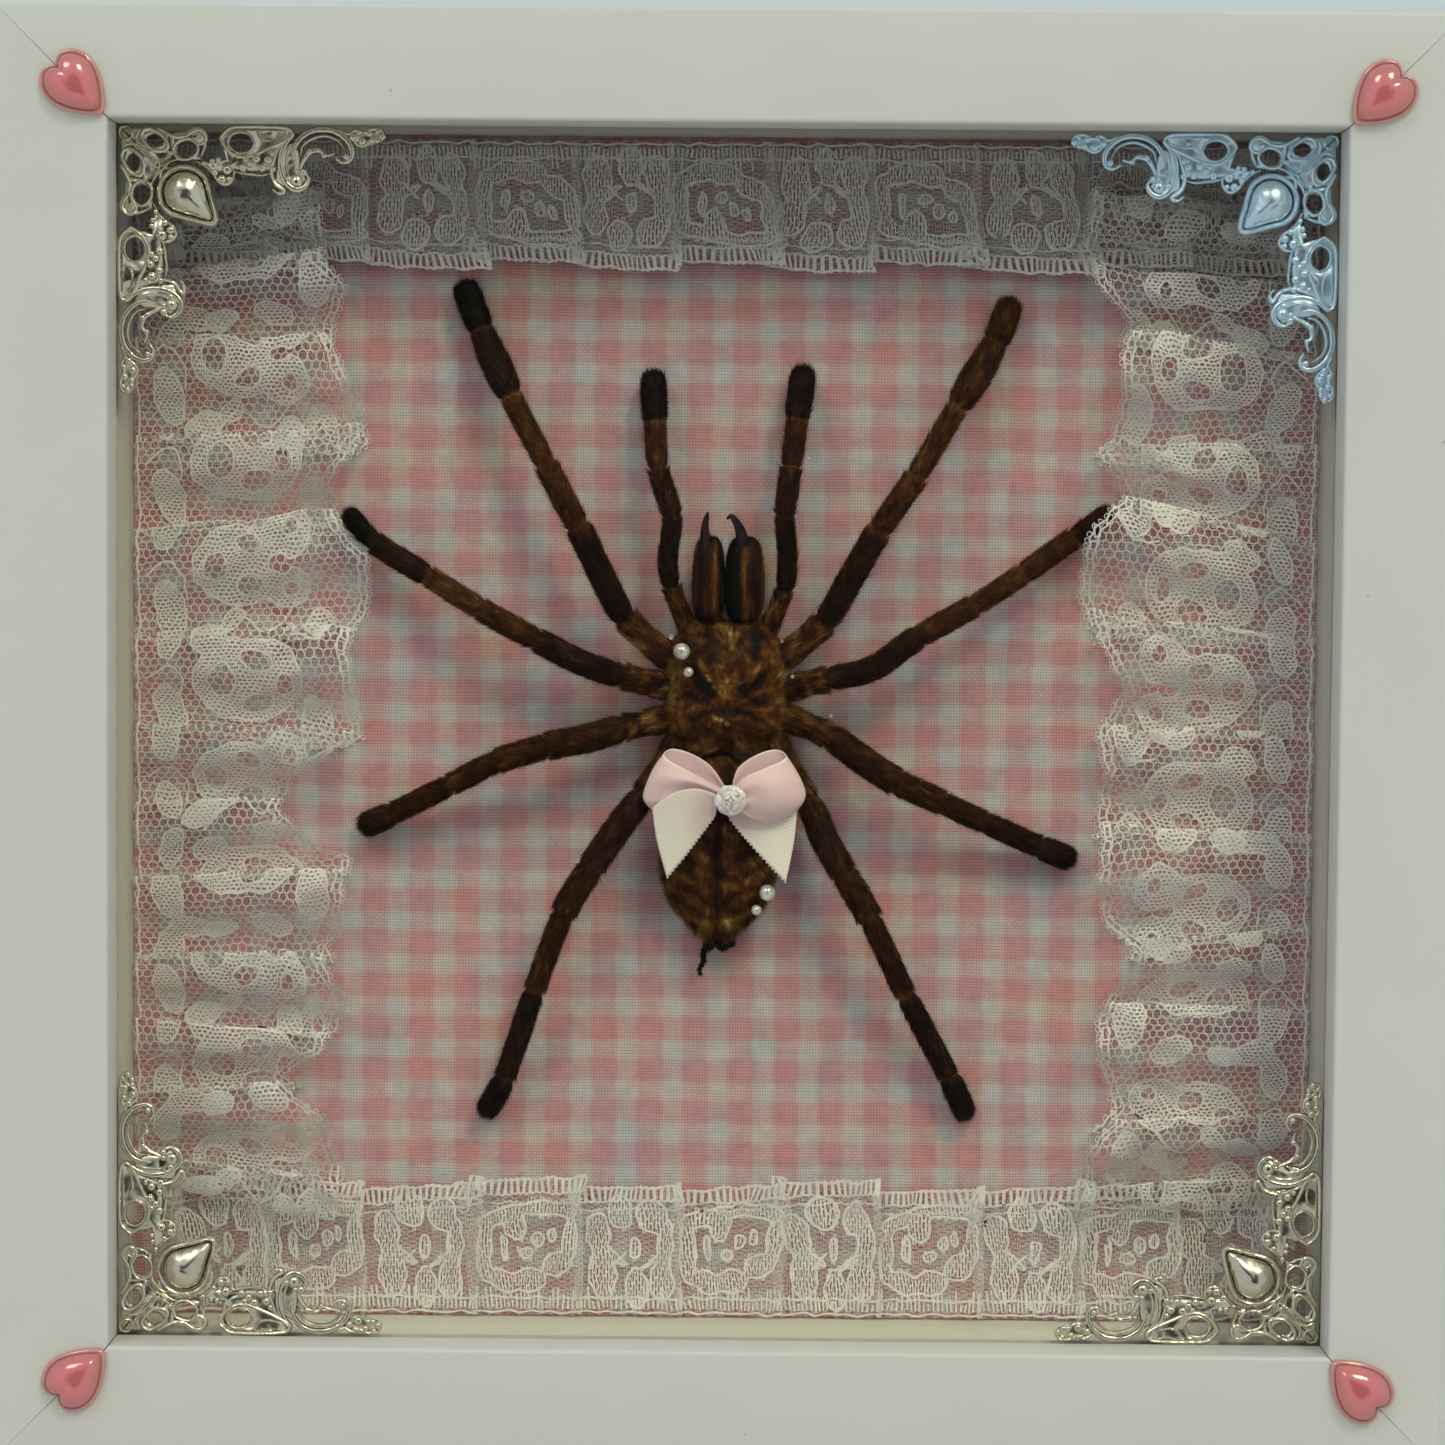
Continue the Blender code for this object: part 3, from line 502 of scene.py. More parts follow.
def sweep(bm, sections, sides, mark=None, values=()):
    """A closed tube: a circle extruded from section to section. Its rings carry values in the layer mark."""
    ring = bmesh.ops.create_circle(bm, segments=sides, radius=1.0)["verts"]
    edges = list(dict.fromkeys(edge for vert in ring for edge in vert.link_edges))
    first = edges
    bmesh.ops.transform(bm, matrix=sections[0], verts=ring)
    for number, here in enumerate(sections):
        if number:
            grown = bmesh.ops.extrude_edge_only(bm, edges=edges)["geom"]
            ring = of_kind(bmesh.types.BMVert, grown)
            edges = [edge for edge in of_kind(bmesh.types.BMEdge, grown) if set(edge.verts) <= set(ring)]
            bmesh.ops.transform(bm, matrix=here @ sections[number - 1].inverted(), verts=ring)
        if mark:
            for vert in ring:
                vert[mark] = values[number]
    for end in (first, edges):
        bmesh.ops.holes_fill(bm, edges=end, sides=0)


def spike(bm, spine, thick, sides):
    """A round tube along places in mm, with its thickness in mm at each."""
    sections = []
    for index, spot in enumerate(spine):
        ahead = spine[min(index + 1, len(spine) - 1)] - spine[max(index - 1, 0)]
        width = thick[index] * MM
        sections.append(section(place(*spot), place(*(spot + ahead)) - place(*spot), FACING, width, width))
    sweep(bm, sections, sides)


def outline_edges(bm, places):
    """A closed outline of new edges."""
    ring = [bm.verts.new(spot) for spot in places]
    return [bm.edges.new((ring[i - 1], ring[i])) for i in range(len(ring))]


def shell(bm, outlines):
    """A closed skin over outlines that lie one above the other."""
    layers = [outline_edges(bm, outline) for outline in outlines]
    for lower, upper in zip(layers, layers[1:]):
        bmesh.ops.bridge_loops(bm, edges=lower + upper)
    bmesh.ops.holes_fill(bm, edges=layers[0] + layers[-1], sides=0)


def ball(bm, centre, half, segments=12, rings=8, turn=None):
    """A ball stretched to half sizes and moved to its place."""
    matrix = Matrix.Translation(centre) @ (turn or Matrix.Identity(4)) @ Matrix.Diagonal((*half, 1))
    return bmesh.ops.create_uvsphere(bm, u_segments=segments, v_segments=rings, radius=1.0,
                                     matrix=matrix)["verts"]


class Heap:
    """Many small shapes heaped into one mesh, with marks on its points."""

    def __init__(self, *marks):
        self.points = []
        self.faces = []
        self.marks = {name: [] for name in marks}
        self.count = 0

    def add(self, points, faces, **marks):
        """Faces are an array, or lists of any length. A mark is a value to each point, or one for all."""
        self.points.append(points)
        if isinstance(faces, np.ndarray):
            self.faces += (faces + self.count).tolist()
        else:
            self.faces += [[corner + self.count for corner in face] for face in faces]
        self.count += len(points)
        for name, value in marks.items():
            shape = (len(points), 3) if name == "grain" else (len(points),)
            self.marks[name].append(np.broadcast_to(np.asarray(value, float), shape))

    def add_mesh(self, mesh, **marks):
        self.add(mesh_points(mesh), [face.vertices for face in mesh.polygons], **marks)

    def mesh(self, name):
        mesh = bpy.data.meshes.new(name)
        mesh.from_pydata(np.concatenate(self.points).tolist(), [], self.faces)
        for mark, values in self.marks.items():
            write_mark(mesh, mark, np.concatenate(values))
        mesh.update()
        return mesh


def mesh_points(mesh):
    points = np.empty(len(mesh.vertices) * 3)
    mesh.vertices.foreach_get("co", points)
    return points.reshape(-1, 3)


def write_mark(mesh, name, values):
    """Puts a mark on a mesh: a vector to each point for the grain, else a number."""
    kind, field = ("FLOAT_VECTOR", "vector") if name == "grain" else ("FLOAT", "value")
    mesh.attributes.new(name, kind, "POINT").data.foreach_set(field, np.ascontiguousarray(values).ravel())


def read_mark(mesh, name):
    """A mark of a mesh, one row to each point."""
    size, field = (3, "vector") if name == "grain" else (1, "value")
    values = np.empty(len(mesh.vertices) * size)
    mesh.attributes[name].data.foreach_get(field, values)
    return values.reshape(-1, size)


def shape_of(bm):
    """A small shape as points and faces, for heaping."""
    bmesh.ops.recalc_face_normals(bm, faces=bm.faces)
    bm.verts.index_update()
    points = np.array([vert.co for vert in bm.verts])
    faces = np.array([[vert.index for vert in face.verts] for face in bm.faces])
    bm.free()
    return points, faces


def heap_copies(heap, shape, matrices, **marks):
    """Adds a copy of the shape for each of the (n, 3, 4) matrices. Marks are one value to each copy."""
    points, faces = shape
    placed = np.einsum("nij,kj->nki", matrices[:, :, :3], points) + matrices[:, None, :, 3]
    count, size = len(matrices), len(points)
    indices = faces[None] + (np.arange(count) * size)[:, None, None]
    repeated = {name: np.repeat(np.asarray(value), size, axis=0) for name, value in marks.items()}
    heap.add(placed.reshape(-1, 3), indices.reshape(-1, faces.shape[1]), **repeated)


# ---------------------------------------------------------------- box frame

def rail_mesh(arris):
    """The bottom rail about the frame's middle: a lip and a wall in one L section, mitred at both ends."""
    half = MIDDLE
    profile = [(0, 0), (0, RAIL_WIDTH), (LIP_DEPTH, RAIL_WIDTH), (LIP_DEPTH, WALL_WIDTH),
               (FRAME_DEPTH, WALL_WIDTH), (FRAME_DEPTH, 0)]
    bm = bmesh.new()
    end = bm.faces.new([bm.verts.new((-half, FRONT_Y + depth, up - half)) for depth, up in profile])
    grown = bmesh.ops.extrude_face_region(bm, geom=[end])["geom"]
    bmesh.ops.translate(bm, vec=(FRAME_WIDTH, 0, 0), verts=of_kind(bmesh.types.BMVert, grown))
    inner = (FRONT_Y + LIP_DEPTH, WALL_WIDTH - half)
    long_edges = [e for e in bm.edges if abs(e.verts[0].co.x - e.verts[1].co.x) > half
                  and (e.verts[0].co.yz - Vector(inner)).length > MM]
    bmesh.ops.bevel(bm, geom=long_edges, offset=arris, offset_type="OFFSET", segments=5, profile=0.5,
                    affect="EDGES", material=-1)
    for side in (1, -1):
        outer = Vector((side * (half - 0.000008), 0, -half))
        opening = Vector((side * (half - RAIL_WIDTH - 0.00012), 0, RAIL_WIDTH - half))
        normal = (opening - outer).cross(Vector((0, side, 0)))
        cut = bmesh.ops.bisect_plane(bm, geom=bm.verts[:] + bm.edges[:] + bm.faces[:],
                                     dist=1e-6, plane_co=outer,
                                     plane_no=normal if normal.x * side > 0 else -normal, clear_outer=True)
        bmesh.ops.holes_fill(bm, edges=of_kind(bmesh.types.BMEdge, cut["geom_cut"]), sides=0)
    return finish_mesh("rail", bm)


def make_rails(settings):
    foil = foil_material(settings)
    for turn, side in enumerate(SIDES):
        mesh = rail_mesh(settings.arris)
        mesh.transform(quarter_turn(turn))
        add_piece("white_rail_" + side, mesh, foil, ["rail_" + side], crease=35)


def finish_boards(settings):
    """The hidden boards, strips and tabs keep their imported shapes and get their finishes."""
    finishes = {
        "spacer_": card_material("cream_strip_card", settings.card, linear("#b9b7ae"), 0.6),
        "mount_board": card_material("white_mount_card", linear("#dcdacf"), linear("#c9c6ba"), 0.5),
        "backing_board": card_material("brown_hardboard", linear("#86603a"), linear("#4d321b"), 0.9),
        "retaining_tab_": tab_material(),
    }
    for name, node in frame["nodes"].items():
        for start, material in finishes.items():
            if name.startswith(start):
                node.data.materials.clear()
                node.data.materials.append(material)


def make_pane():
    low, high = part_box("glass_pane")
    bm = bmesh.new()
    bmesh.ops.create_cube(bm, size=1.0)
    bmesh.ops.scale(bm, vec=high - low, verts=bm.verts)
    bmesh.ops.translate(bm, vec=(low + high) / 2, verts=bm.verts)
    bmesh.ops.bevel(bm, geom=bm.edges[:], offset=0.0003, offset_type="OFFSET", segments=2, profile=0.5,
                    affect="EDGES", material=-1)
    pane = add_piece("pane_of_glass", finish_mesh("pane", bm), glass_material(),
                     ["glass_pane"], crease=20)
    pane.visible_shadow = False


# ---------------------------------------------------------------- gingham

def make_gingham(settings):
    """The cloth is drawn tight over its board, with the slight unevenness of stretched cotton."""
    bm = bmesh.new()
    bmesh.ops.create_grid(bm, x_segments=60, y_segments=60, size=PANE_WIDTH / 2,
                          matrix=Matrix.Translation((0, CLOTH_Y + 0.00012, MIDDLE))
                          @ Matrix.Rotation(math.pi / 2, 4, "X"))
    for vert in bm.verts:
        vert.co.y += 0.00008 * noise.noise(vert.co * 55)
    bmesh.ops.solidify(bm, geom=bm.faces[:], thickness=0.0002)
    cloth = add_piece("gingham_sheet", finish_mesh("gingham", bm), gingham_material(settings),
                      ["gingham_cloth"])


# ---------------------------------------------------------------- lace

# Where the folds of the wide lace crest, from the bottom up: height in mm at the outer and the inner edge.
LEFT_CRESTS = [
    (48.0, 44.0), (59.5, 62.5), (73.0, 70.0), (84.0, 84.5), (98.0, 100.0), (111.5, 113.0), (125.5, 123.0),
    (141.0, 142.5), (160.0, 163.0), (176.5, 175.5), (194.0, 194.5), (205.0, 209.0), (217.0, 219.0)
]
RIGHT_CRESTS = [
    (46.0, 44.5), (57.0, 55.0), (76.0, 78.0), (91.0, 86.0), (107.0, 108.5), (125.5, 126.0), (142.0, 144.0),
    (159.0, 168.0), (177.0, 174.5), (192.0, 196.0), (205.0, 207.0), (218.0, 219.0)
]
# Where the free edge of the wide lace runs: height, and reach from the inside of the frame, in mm.
LEFT_EDGE = [
    (40, 36), (47, 36), (57, 33.6), (60, 29.5), (63, 25.5), (68.5, 33), (76.6, 37.6), (85.6, 33.5),
    (90, 36.7), (101.4, 37.6), (106, 29.5), (111.5, 25), (117, 27.7), (120.5, 33), (124, 39.6), (132, 38.7),
    (141, 37.5), (146.4, 40.8), (155.3, 41.1), (158, 38.3), (163.7, 35), (169.4, 34.7), (176.5, 40.4),
    (184.5, 39.1), (195, 33.7), (203, 37.3), (208, 32.8), (222, 33)
]
RIGHT_EDGE = [
    (40, 39), (45.4, 39.5), (52.7, 39.4), (58.1, 33.4), (67.1, 36.7), (74.3, 37.2), (79.7, 33.7),
    (86.9, 29.9), (92.2, 36), (99.4, 37.5), (108.3, 37.3), (119.1, 36.4), (125.3, 37.9), (133.3, 32.7),
    (142.2, 38.1), (149.3, 41.1), (159, 40.5), (167.9, 33.2), (175, 38.6), (178, 35.5), (184.7, 34.3),
    (191.8, 34.9), (198.8, 32.8), (204.1, 39), (210.2, 41.2), (222, 40)
]
# The pleats of the narrow lace: where they lie across the frame, in mm.
TOP_PLEATS = [-98.5, -82.0, -64.4, -45.0, -27.1, -10.3, 7.4, 25.1, 43.7, 62.3, 81.0, 98.0]
BOTTOM_PLEATS = [-97.0, -80.9, -63.8, -43.9, -25.0, -7.0, 10.9, 28.9, 46.9, 64.9, 82.9, 99.0]

# Motifs of the wide lace as (reach, along, half reach, half along, degrees, kind) in mm, and the cords
# that join them. Where no kind is given it is cloth, worked with small square holes. Dense is nearly
# closed, and a hole lets the net through.
WIDE_MOTIFS = [
    (20.0, 12.0, 10.0, 8.4, 10), (15.4, 12.0, 2.5, 3.6, 0, "hole"), (21.6, 7.8, 3.0, 2.0, 18, "hole"),
    (21.8, 15.8, 3.0, 2.0, -18, "hole"), (26.8, 11.6, 1.5, 2.3, 0, "hole"), (13.2, 20.2, 3.2, 2.4, 30),
    (18.6, 41.0, 8.4, 7.6, 0), (26.8, 36.6, 4.2, 4.4, 20), (27.2, 46.2, 4.2, 4.0, -20),
    (14.2, 41.0, 2.2, 3.0, 0, "hole"), (20.2, 37.2, 2.6, 1.8, 24, "hole"),
    (20.4, 45.0, 2.6, 1.8, -24, "hole"), (25.8, 41.2, 2.0, 1.5, 0, "hole"), (27.6, 36.0, 1.4, 1.7, 0, "hole"),
    (28.0, 47.0, 1.4, 1.5, 0, "hole"), (32.2, 3.6, 2.8, 5.0, 0), (32.6, 25.6, 3.2, 6.2, 0),
    (32.4, 26.0, 1.1, 2.8, 0, "hole"), (5.8, 5.0, 2.6, 6.0, 12), (6.2, 20.6, 2.0, 4.4, -14),
    (5.8, 33.0, 2.6, 6.0, 8), (5.6, 49.6, 2.4, 4.8, -8), (11.8, 27.4, 3.4, 2.2, 30, "dense"),
    (27.2, 26.4, 2.2, 3.2, 0, "dense"), (9.6, 55.0, 3.4, 2.4, 0), (15.0, 54.6, 3.0, 2.0, 18, "dense"),
    (24.4, 55.4, 3.6, 2.2, -24), (17.0, 30.6, 2.4, 1.5, 50), (23.6, 24.0, 2.6, 1.4, -30)
]
WIDE_CORDS = [
    [(2.0, 12.0), (6.0, 15.0), (8.4, 12.0), (7.6, 8.6)], [(2.0, 40.0), (5.4, 43.0), (8.6, 39.6), (8.8, 35.0)],
    [(12.6, 24.4), (18.0, 30.6), (23.0, 27.6), (28.2, 33.0)], [(28.4, 20.0), (33.0, 19.0), (34.6, 22.6)],
]
WIDE_REPEAT = 58.0
WIDEST = 44.0  # reach in mm that the worked grid covers
EDGE_MARGIN = 1.6  # mm between the work and the free edge, for the edge's own cords
OUTLINE_STEP = 0.36
SOFTNESS = 2.6  # how sharply neighbouring motifs keep apart, per mm
GARLAND = [
    (9.8, -7.2, 4.4, 1.25, 8), (5.2, -4.3, 1.6, 2.8, 24), (5.4, 0.6, 1.9, 3.0, -6), (8.0, 5.6, 1.8, 2.5, -28),
    (12.0, 8.0, 3.6, 1.2, 0), (15.2, -5.0, 1.1, 3.1, -18), (14.4, -1.2, 2.6, 1.6, 0),
    (17.0, 2.0, 1.0, 3.0, -8), (16.8, 6.4, 1.0, 2.7, 0), (10.6, -3.5, 1.9, 0.6, 0), (9.6, 0.2, 0.8, 1.1, 0),
    (11.8, 2.4, 1.2, 0.8, 0), (12.6, 4.6, 1.0, 0.6, 0)
]
BLOSSOM = [
    (6.3, -4.6, 3.7, 2.5, 0), (5.4, 6.2, 3.0, 2.2, 0), (3.8, 1.4, 2.9, 2.0, 0), (13.0, -5.4, 3.2, 2.2, 0),
    (16.4, -0.8, 2.6, 2.2, 0), (15.8, 4.6, 2.6, 2.2, 0), (11.4, 6.8, 3.7, 1.4, 0), (10.6, 1.2, 1.7, 0.8, 0),
    (8.8, -1.8, 0.3, 1.7, 38, "cord"), (8.4, 3.8, 0.3, 1.6, -38, "cord")
]


def flat_shape(segments, half):
    """A flat square or circle of half sizes (reach, along)."""
    bm = bmesh.new()
    if segments == 4:
        bmesh.ops.create_grid(bm, x_segments=1, y_segments=1, size=1.0)
    else:
        bmesh.ops.create_circle(bm, segments=segments, radius=1.0, cap_ends=True)
    bmesh.ops.scale(bm, vec=(*half, 1), verts=bm.verts)
    return bm


def ring_shape(segments, half, thickness):
    """A flat ring for heaping, its middle taken out. Four segments make a square frame."""
    bm = flat_shape(segments, half)
    ring = bmesh.ops.inset_individual(bm, faces=bm.faces[:], thickness=thickness,
                                      use_even_offset=True)["faces"]
    middle = [face for face in bm.faces if face not in set(ring)]
    bmesh.ops.delete(bm, geom=middle, context="FACES_ONLY")
    return shape_of(bm)


def worked_depth(flat, motifs):
    """How deep each flat point (reach, along) lies in the motifs in mm; neighbours grow together softly."""
    total = np.full(len(flat), 1e-6)
    for reach, along, half_reach, half_along, degrees, *_ in motifs:
        near = np.flatnonzero(np.abs(flat[:, 1] - along) < 8)
        turn = math.radians(degrees)
        across = flat[near] - (reach, along)
        u = across[:, 0] * math.cos(turn) + across[:, 1] * math.sin(turn)
        v = across[:, 1] * math.cos(turn) - across[:, 0] * math.sin(turn)
        ring = np.sqrt((u / half_reach) ** 2 + (v / half_along) ** 2)
        total[near] += np.exp(SOFTNESS * np.clip((1 - ring) * min(half_reach, half_along), -5, 5))
    return np.log(total) / SOFTNESS


def flat_copies(places, turns=0.0):
    """Matrices that put a flat shape at each (reach, along), turned by its angle."""
    matrices = np.zeros((len(places), 3, 4))
    c, s = np.cos(turns), np.sin(turns)
    matrices[:, 0, 0], matrices[:, 0, 1], matrices[:, 1, 0], matrices[:, 1, 1] = c, -s, s, c
    matrices[:, 2, 2] = 1
    matrices[:, :2, 3] = places
    return matrices


def edge_stitches(depth, reach, along):
    """Places and angles of the stitches that run where a depth on a grid of (along, reach) is zero."""
    slope_along, slope_reach = np.gradient(depth)
    places, turns = [], []
    for axis in (0, 1):
        ahead = np.roll(depth, -1, axis)
        crossing = (depth > 0) != (ahead > 0)
        crossing[(slice(-1, None), slice(None)) if axis == 0 else (slice(None), slice(-1, None))] = False
        rows, columns = np.nonzero(crossing)
        part = depth[rows, columns] / (depth[rows, columns] - ahead[rows, columns])
        places.append(np.stack([np.interp(columns + part * (axis == 1), np.arange(len(reach)), reach),
                                np.interp(rows + part * (axis == 0), np.arange(len(along)), along)], 1))
        turns.append(np.arctan2(slope_along[rows, columns], slope_reach[rows, columns]) + np.pi / 2)
    return np.concatenate(places), np.concatenate(turns)


def path_stitches(cords):
    """Places and angles of the stitches along cords."""
    places, turns = [np.zeros((0, 2))], [np.zeros(0)]
    for path in cords:
        steps = np.array([p[:2] for p in smooth_path([(*p, 0) for p in path], 14)])
        ahead = np.gradient(steps, axis=0)
        places.append(steps)
        turns.append(np.arctan2(ahead[:, 1], ahead[:, 0]))
    return np.concatenate(places), np.concatenate(turns)


def draw_cord(heap, reach, along, width):
    """Heaps a flat cord along the strip: a row of squares drawn out along it."""
    path = np.stack(np.broadcast_arrays(reach, along), 1)
    bm = bmesh.new()
    bmesh.ops.create_grid(bm, x_segments=len(path) - 1, y_segments=1, size=0.5)
    ahead = np.gradient(path, axis=0)
    side = np.stack([-ahead[:, 1], ahead[:, 0]], 1) / np.linalg.norm(ahead, axis=1)[:, None]
    for vert in bm.verts:
        index = round((vert.co.x + 0.5) * (len(path) - 1))
        vert.co = (*(path[index] + side[index] * width * vert.co.y), 0)
    heap.add(*shape_of(bm))


def draw_row(heap, shape, reach, along, turns=0.0):
    """Heaps a copy of a flat shape at each place along the strip."""
    heap_copies(heap, shape, flat_copies(np.stack(np.broadcast_arrays(reach, along), 1), turns))


def ripple(x, y, size, seed):
    """A soft unevenness from -1 to 1, with swells of about a size in mm."""
    k = 2 * np.pi / size
    return (np.sin(k * x + 1.7 * np.sin(0.43 * k * y + seed) + seed) * np.cos(0.8 * k * y + 2.1 * seed) * 0.6
            + 0.4 * np.sin(1.3 * k * y - 0.7 * k * x + 3.3 * seed))


class Folds:
    """How a flat strip of lace lies: S-shaped folds at its crests, with the upper layer in front."""

    def __init__(self, crests, overlap, rise, outer_rise, lead):
        self.lead = lead
        self.outer, self.inner = np.array(crests, float).T
        self.overlap, self.rise, self.outer_rise = overlap, rise, outer_rise
        self.phases = np.linspace(-0.45, len(crests) - 0.55, 2400)
        line = self.lie(self.phases, np.full(len(self.phases), 0.5))
        steps = np.hypot(*np.diff(line, axis=1))
        self.flat = np.concatenate([[0], np.cumsum(steps)])
        self.length = self.flat[-1]

    def lie(self, phase, inwards):
        """Place along the strip and rise, in mm, at a phase that is whole at each crest."""
        numbers = np.arange(-1, len(self.outer) + 1)
        rows = [np.concatenate([[2 * row[0] - row[1]], row, [2 * row[-1] - row[-2]]])
                for row in (self.outer, self.inner)]
        outer, inner = (np.interp(phase, numbers, row) for row in rows)
        run = outer + (inner - outer) * inwards
        pitch = np.interp(phase, numbers[1:-2] + 0.5, np.diff((self.outer + self.inner) / 2))
        turn = 2 * np.pi * phase
        vary = 1 + 0.22 * np.sin(phase * 2.3 + 0.6) * inwards
        swing = pitch / (2 * np.pi) * self.overlap * (0.72 + 0.28 * inwards) * vary
        height = (self.outer_rise + (self.rise - self.outer_rise) * inwards) * vary
        level = 0.5 + 0.5 * np.tanh(1.9 * np.cos(turn + self.lead)) / np.tanh(1.9)
        return np.stack([run - swing * np.sin(turn), height * level])

    def flat_at(self, phase):
        return float(np.interp(phase, self.phases, self.flat))

    def phase_at(self, along):
        return np.interp(along, self.flat, self.phases)


def cell_grid(step_reach, step_along, reach, length):
    """Cell centres (reach, along) in rows that are shifted by half a cell."""
    across = np.arange(0.4, reach, step_reach)
    rows = [np.stack([across + (number % 2) * step_reach / 2, np.full(len(across), along)], 1)
            for number, along in enumerate(np.arange(0.4, length - 0.4, step_along))]
    return np.concatenate(rows)


def work_lace(heap, folds, edge_at, motifs, cords, holes, net, cell, cord):
    """Heaps a flat strip's net, clothwork and cords. Net and cell: (half reach, half along, thread)."""
    dense = [motif for motif in motifs if "dense" in motif]

    def worked(flat):
        whole = worked_depth(flat, motifs)
        return np.minimum(whole, -worked_depth(flat, holes)) if holes else whole, worked_depth(flat, dense)

    def cells(step_reach, step_along):
        flat = cell_grid(step_reach, step_along, WIDEST, folds.length)
        flat = flat[flat[:, 0] < edge_at(flat[:, 1]) - EDGE_MARGIN]
        return flat, *worked(flat)

    # A hexagon with its points along the strip is sqrt(3) half sides wide, and its rows are 1.5 apart.
    flat, whole, _ = cells(net[0] * math.sqrt(3), net[1] * 1.5)
    heap_copies(heap, ring_shape(6, net[:2], net[2] / 2), flat_copies(flat[whole < 0.25], math.pi / 2))
    flat, whole, closed = cells(cell[0] * 2, cell[1] * 2)
    heap_copies(heap, ring_shape(4, cell[:2], cell[2]), flat_copies(flat[(whole > 0) & (closed <= 0)]))
    heap_copies(heap, ring_shape(4, cell[:2], min(cell[:2]) * 0.72),
                flat_copies(flat[(whole > 0) & (closed > 0)]))
    reach, along = np.arange(0.0, WIDEST, OUTLINE_STEP), np.arange(0.0, folds.length, OUTLINE_STEP)
    whole, closed = worked(np.stack(np.meshgrid(reach, along), 2).reshape(-1, 2))
    stitches = [edge_stitches(depth.reshape(len(along), len(reach)), reach, along)
                for depth in (whole, closed)]
    spots, turns = (np.concatenate(parts) for parts in zip(*stitches, path_stitches(cords)))
    kept = ((spots[:, 0] < edge_at(spots[:, 1]) - EDGE_MARGIN) & (spots[:, 1] > 0.6)
            & (spots[:, 1] < folds.length - 0.6))
    heap_copies(heap, shape_of(flat_shape(4, (0.26, cord / 2))), flat_copies(spots[kept], turns[kept]))


def flat_area(flat, faces):
    """Area of the flat threads in square mm."""
    quads = np.array(faces)
    a, b = flat[quads[:, 2], :2] - flat[quads[:, 0], :2], flat[quads[:, 3], :2] - flat[quads[:, 1], :2]
    return float(np.abs(a[:, 0] * b[:, 1] - a[:, 1] * b[:, 0]).sum() / 2)


def lay_lace(side, heap, folds, width, world, material, flip):
    flat = np.concatenate(heap.points)
    thread_area = flat_area(flat, heap.faces)
    x, y = flat[:, 0], flat[:, 1]
    pulled_x, pulled_y = x + 0.3 * ripple(x, y, 6.0, 1.0), y + 0.3 * ripple(y, x, 5.0, 2.0)
    inwards = np.clip(pulled_x / width, 0, 1.2)
    run, rise = folds.lie(folds.phase_at(pulled_y), inwards)
    rise = np.maximum(rise + 0.3 + 0.45 * ripple(x, y, 9.0, 4.0) * inwards, 0.12)
    run = run + 0.9 * ripple(x, y, 17.0, 5.0) * inwards
    heap.points = [world(pulled_x, run, rise)]
    if flip:
        heap.faces = [face[::-1] for face in heap.faces]
    name = "lace_strip_" + side
    strip = add_piece(name, heap.mesh(name), material, ["lace_" + side])


def make_side_lace(settings, material):
    """Wide lace with a hexagonal net, worked flowers and a looped edge, gathered into shelf-like folds."""
    half = settings.net_pitch / MM / math.sqrt(3)
    for side, crests, edge, sign, start in (("left", LEFT_CRESTS, LEFT_EDGE, -1, 26),
                                            ("right", RIGHT_CRESTS, RIGHT_EDGE, 1, 8)):
        folds = Folds(crests, 2.0, settings.rise / MM, 2.6, 1.7)
        runs, reaches = np.array(edge, float).T

        def edge_at(along, folds=folds, runs=runs, reaches=reaches):
            run = folds.lie(folds.phase_at(along), np.full(len(along), 0.9))[0]
            return np.interp(run, runs, reaches) + 0.45 * np.abs(np.sin(along * np.pi / 3.6))

        motifs, cords, holes = [], [], []
        for number in range(int(folds.length / WIDE_REPEAT) + 2):
            shift = number * WIDE_REPEAT - start
            for reach, along, *rest in WIDE_MOTIFS:
                (holes if "hole" in rest else motifs).append((reach, along + shift, *rest))
            cords += [[(reach, along + shift) for reach, along in cord] for cord in WIDE_CORDS]
        heap = Heap()
        work_lace(heap, folds, edge_at, motifs, cords, holes, (half, half, settings.net_thread / MM),
                  (0.47, 0.34, 0.16), settings.outline / MM)
        along = np.arange(0.5, folds.length - 0.5, 0.45)
        for inset in (0.2, 1.5):
            draw_cord(heap, edge_at(along) - inset - 0.12 * np.sin(along * 5), along, 0.3)
        links = np.arange(1, folds.length - 1, 1.9)
        draw_row(heap, ring_shape(4, (0.62, 0.8), 0.24), edge_at(links) - 0.85, links)
        picots = np.arange(1.6, folds.length - 1, 0.95)
        draw_row(heap, ring_shape(6, (0.5, 0.45), 0.12), edge_at(picots) + 0.25, picots)
        draw_cord(heap, 0.3, along, 0.4)

        def world(reach, run, rise, sign=sign):
            return np.stack([sign * (INSIDE - LACE_GAP - reach * MM), CLOTH_Y - rise * MM, run * MM], 1)

        lay_lace(side, heap, folds, 36.0, world, material, side == "left")


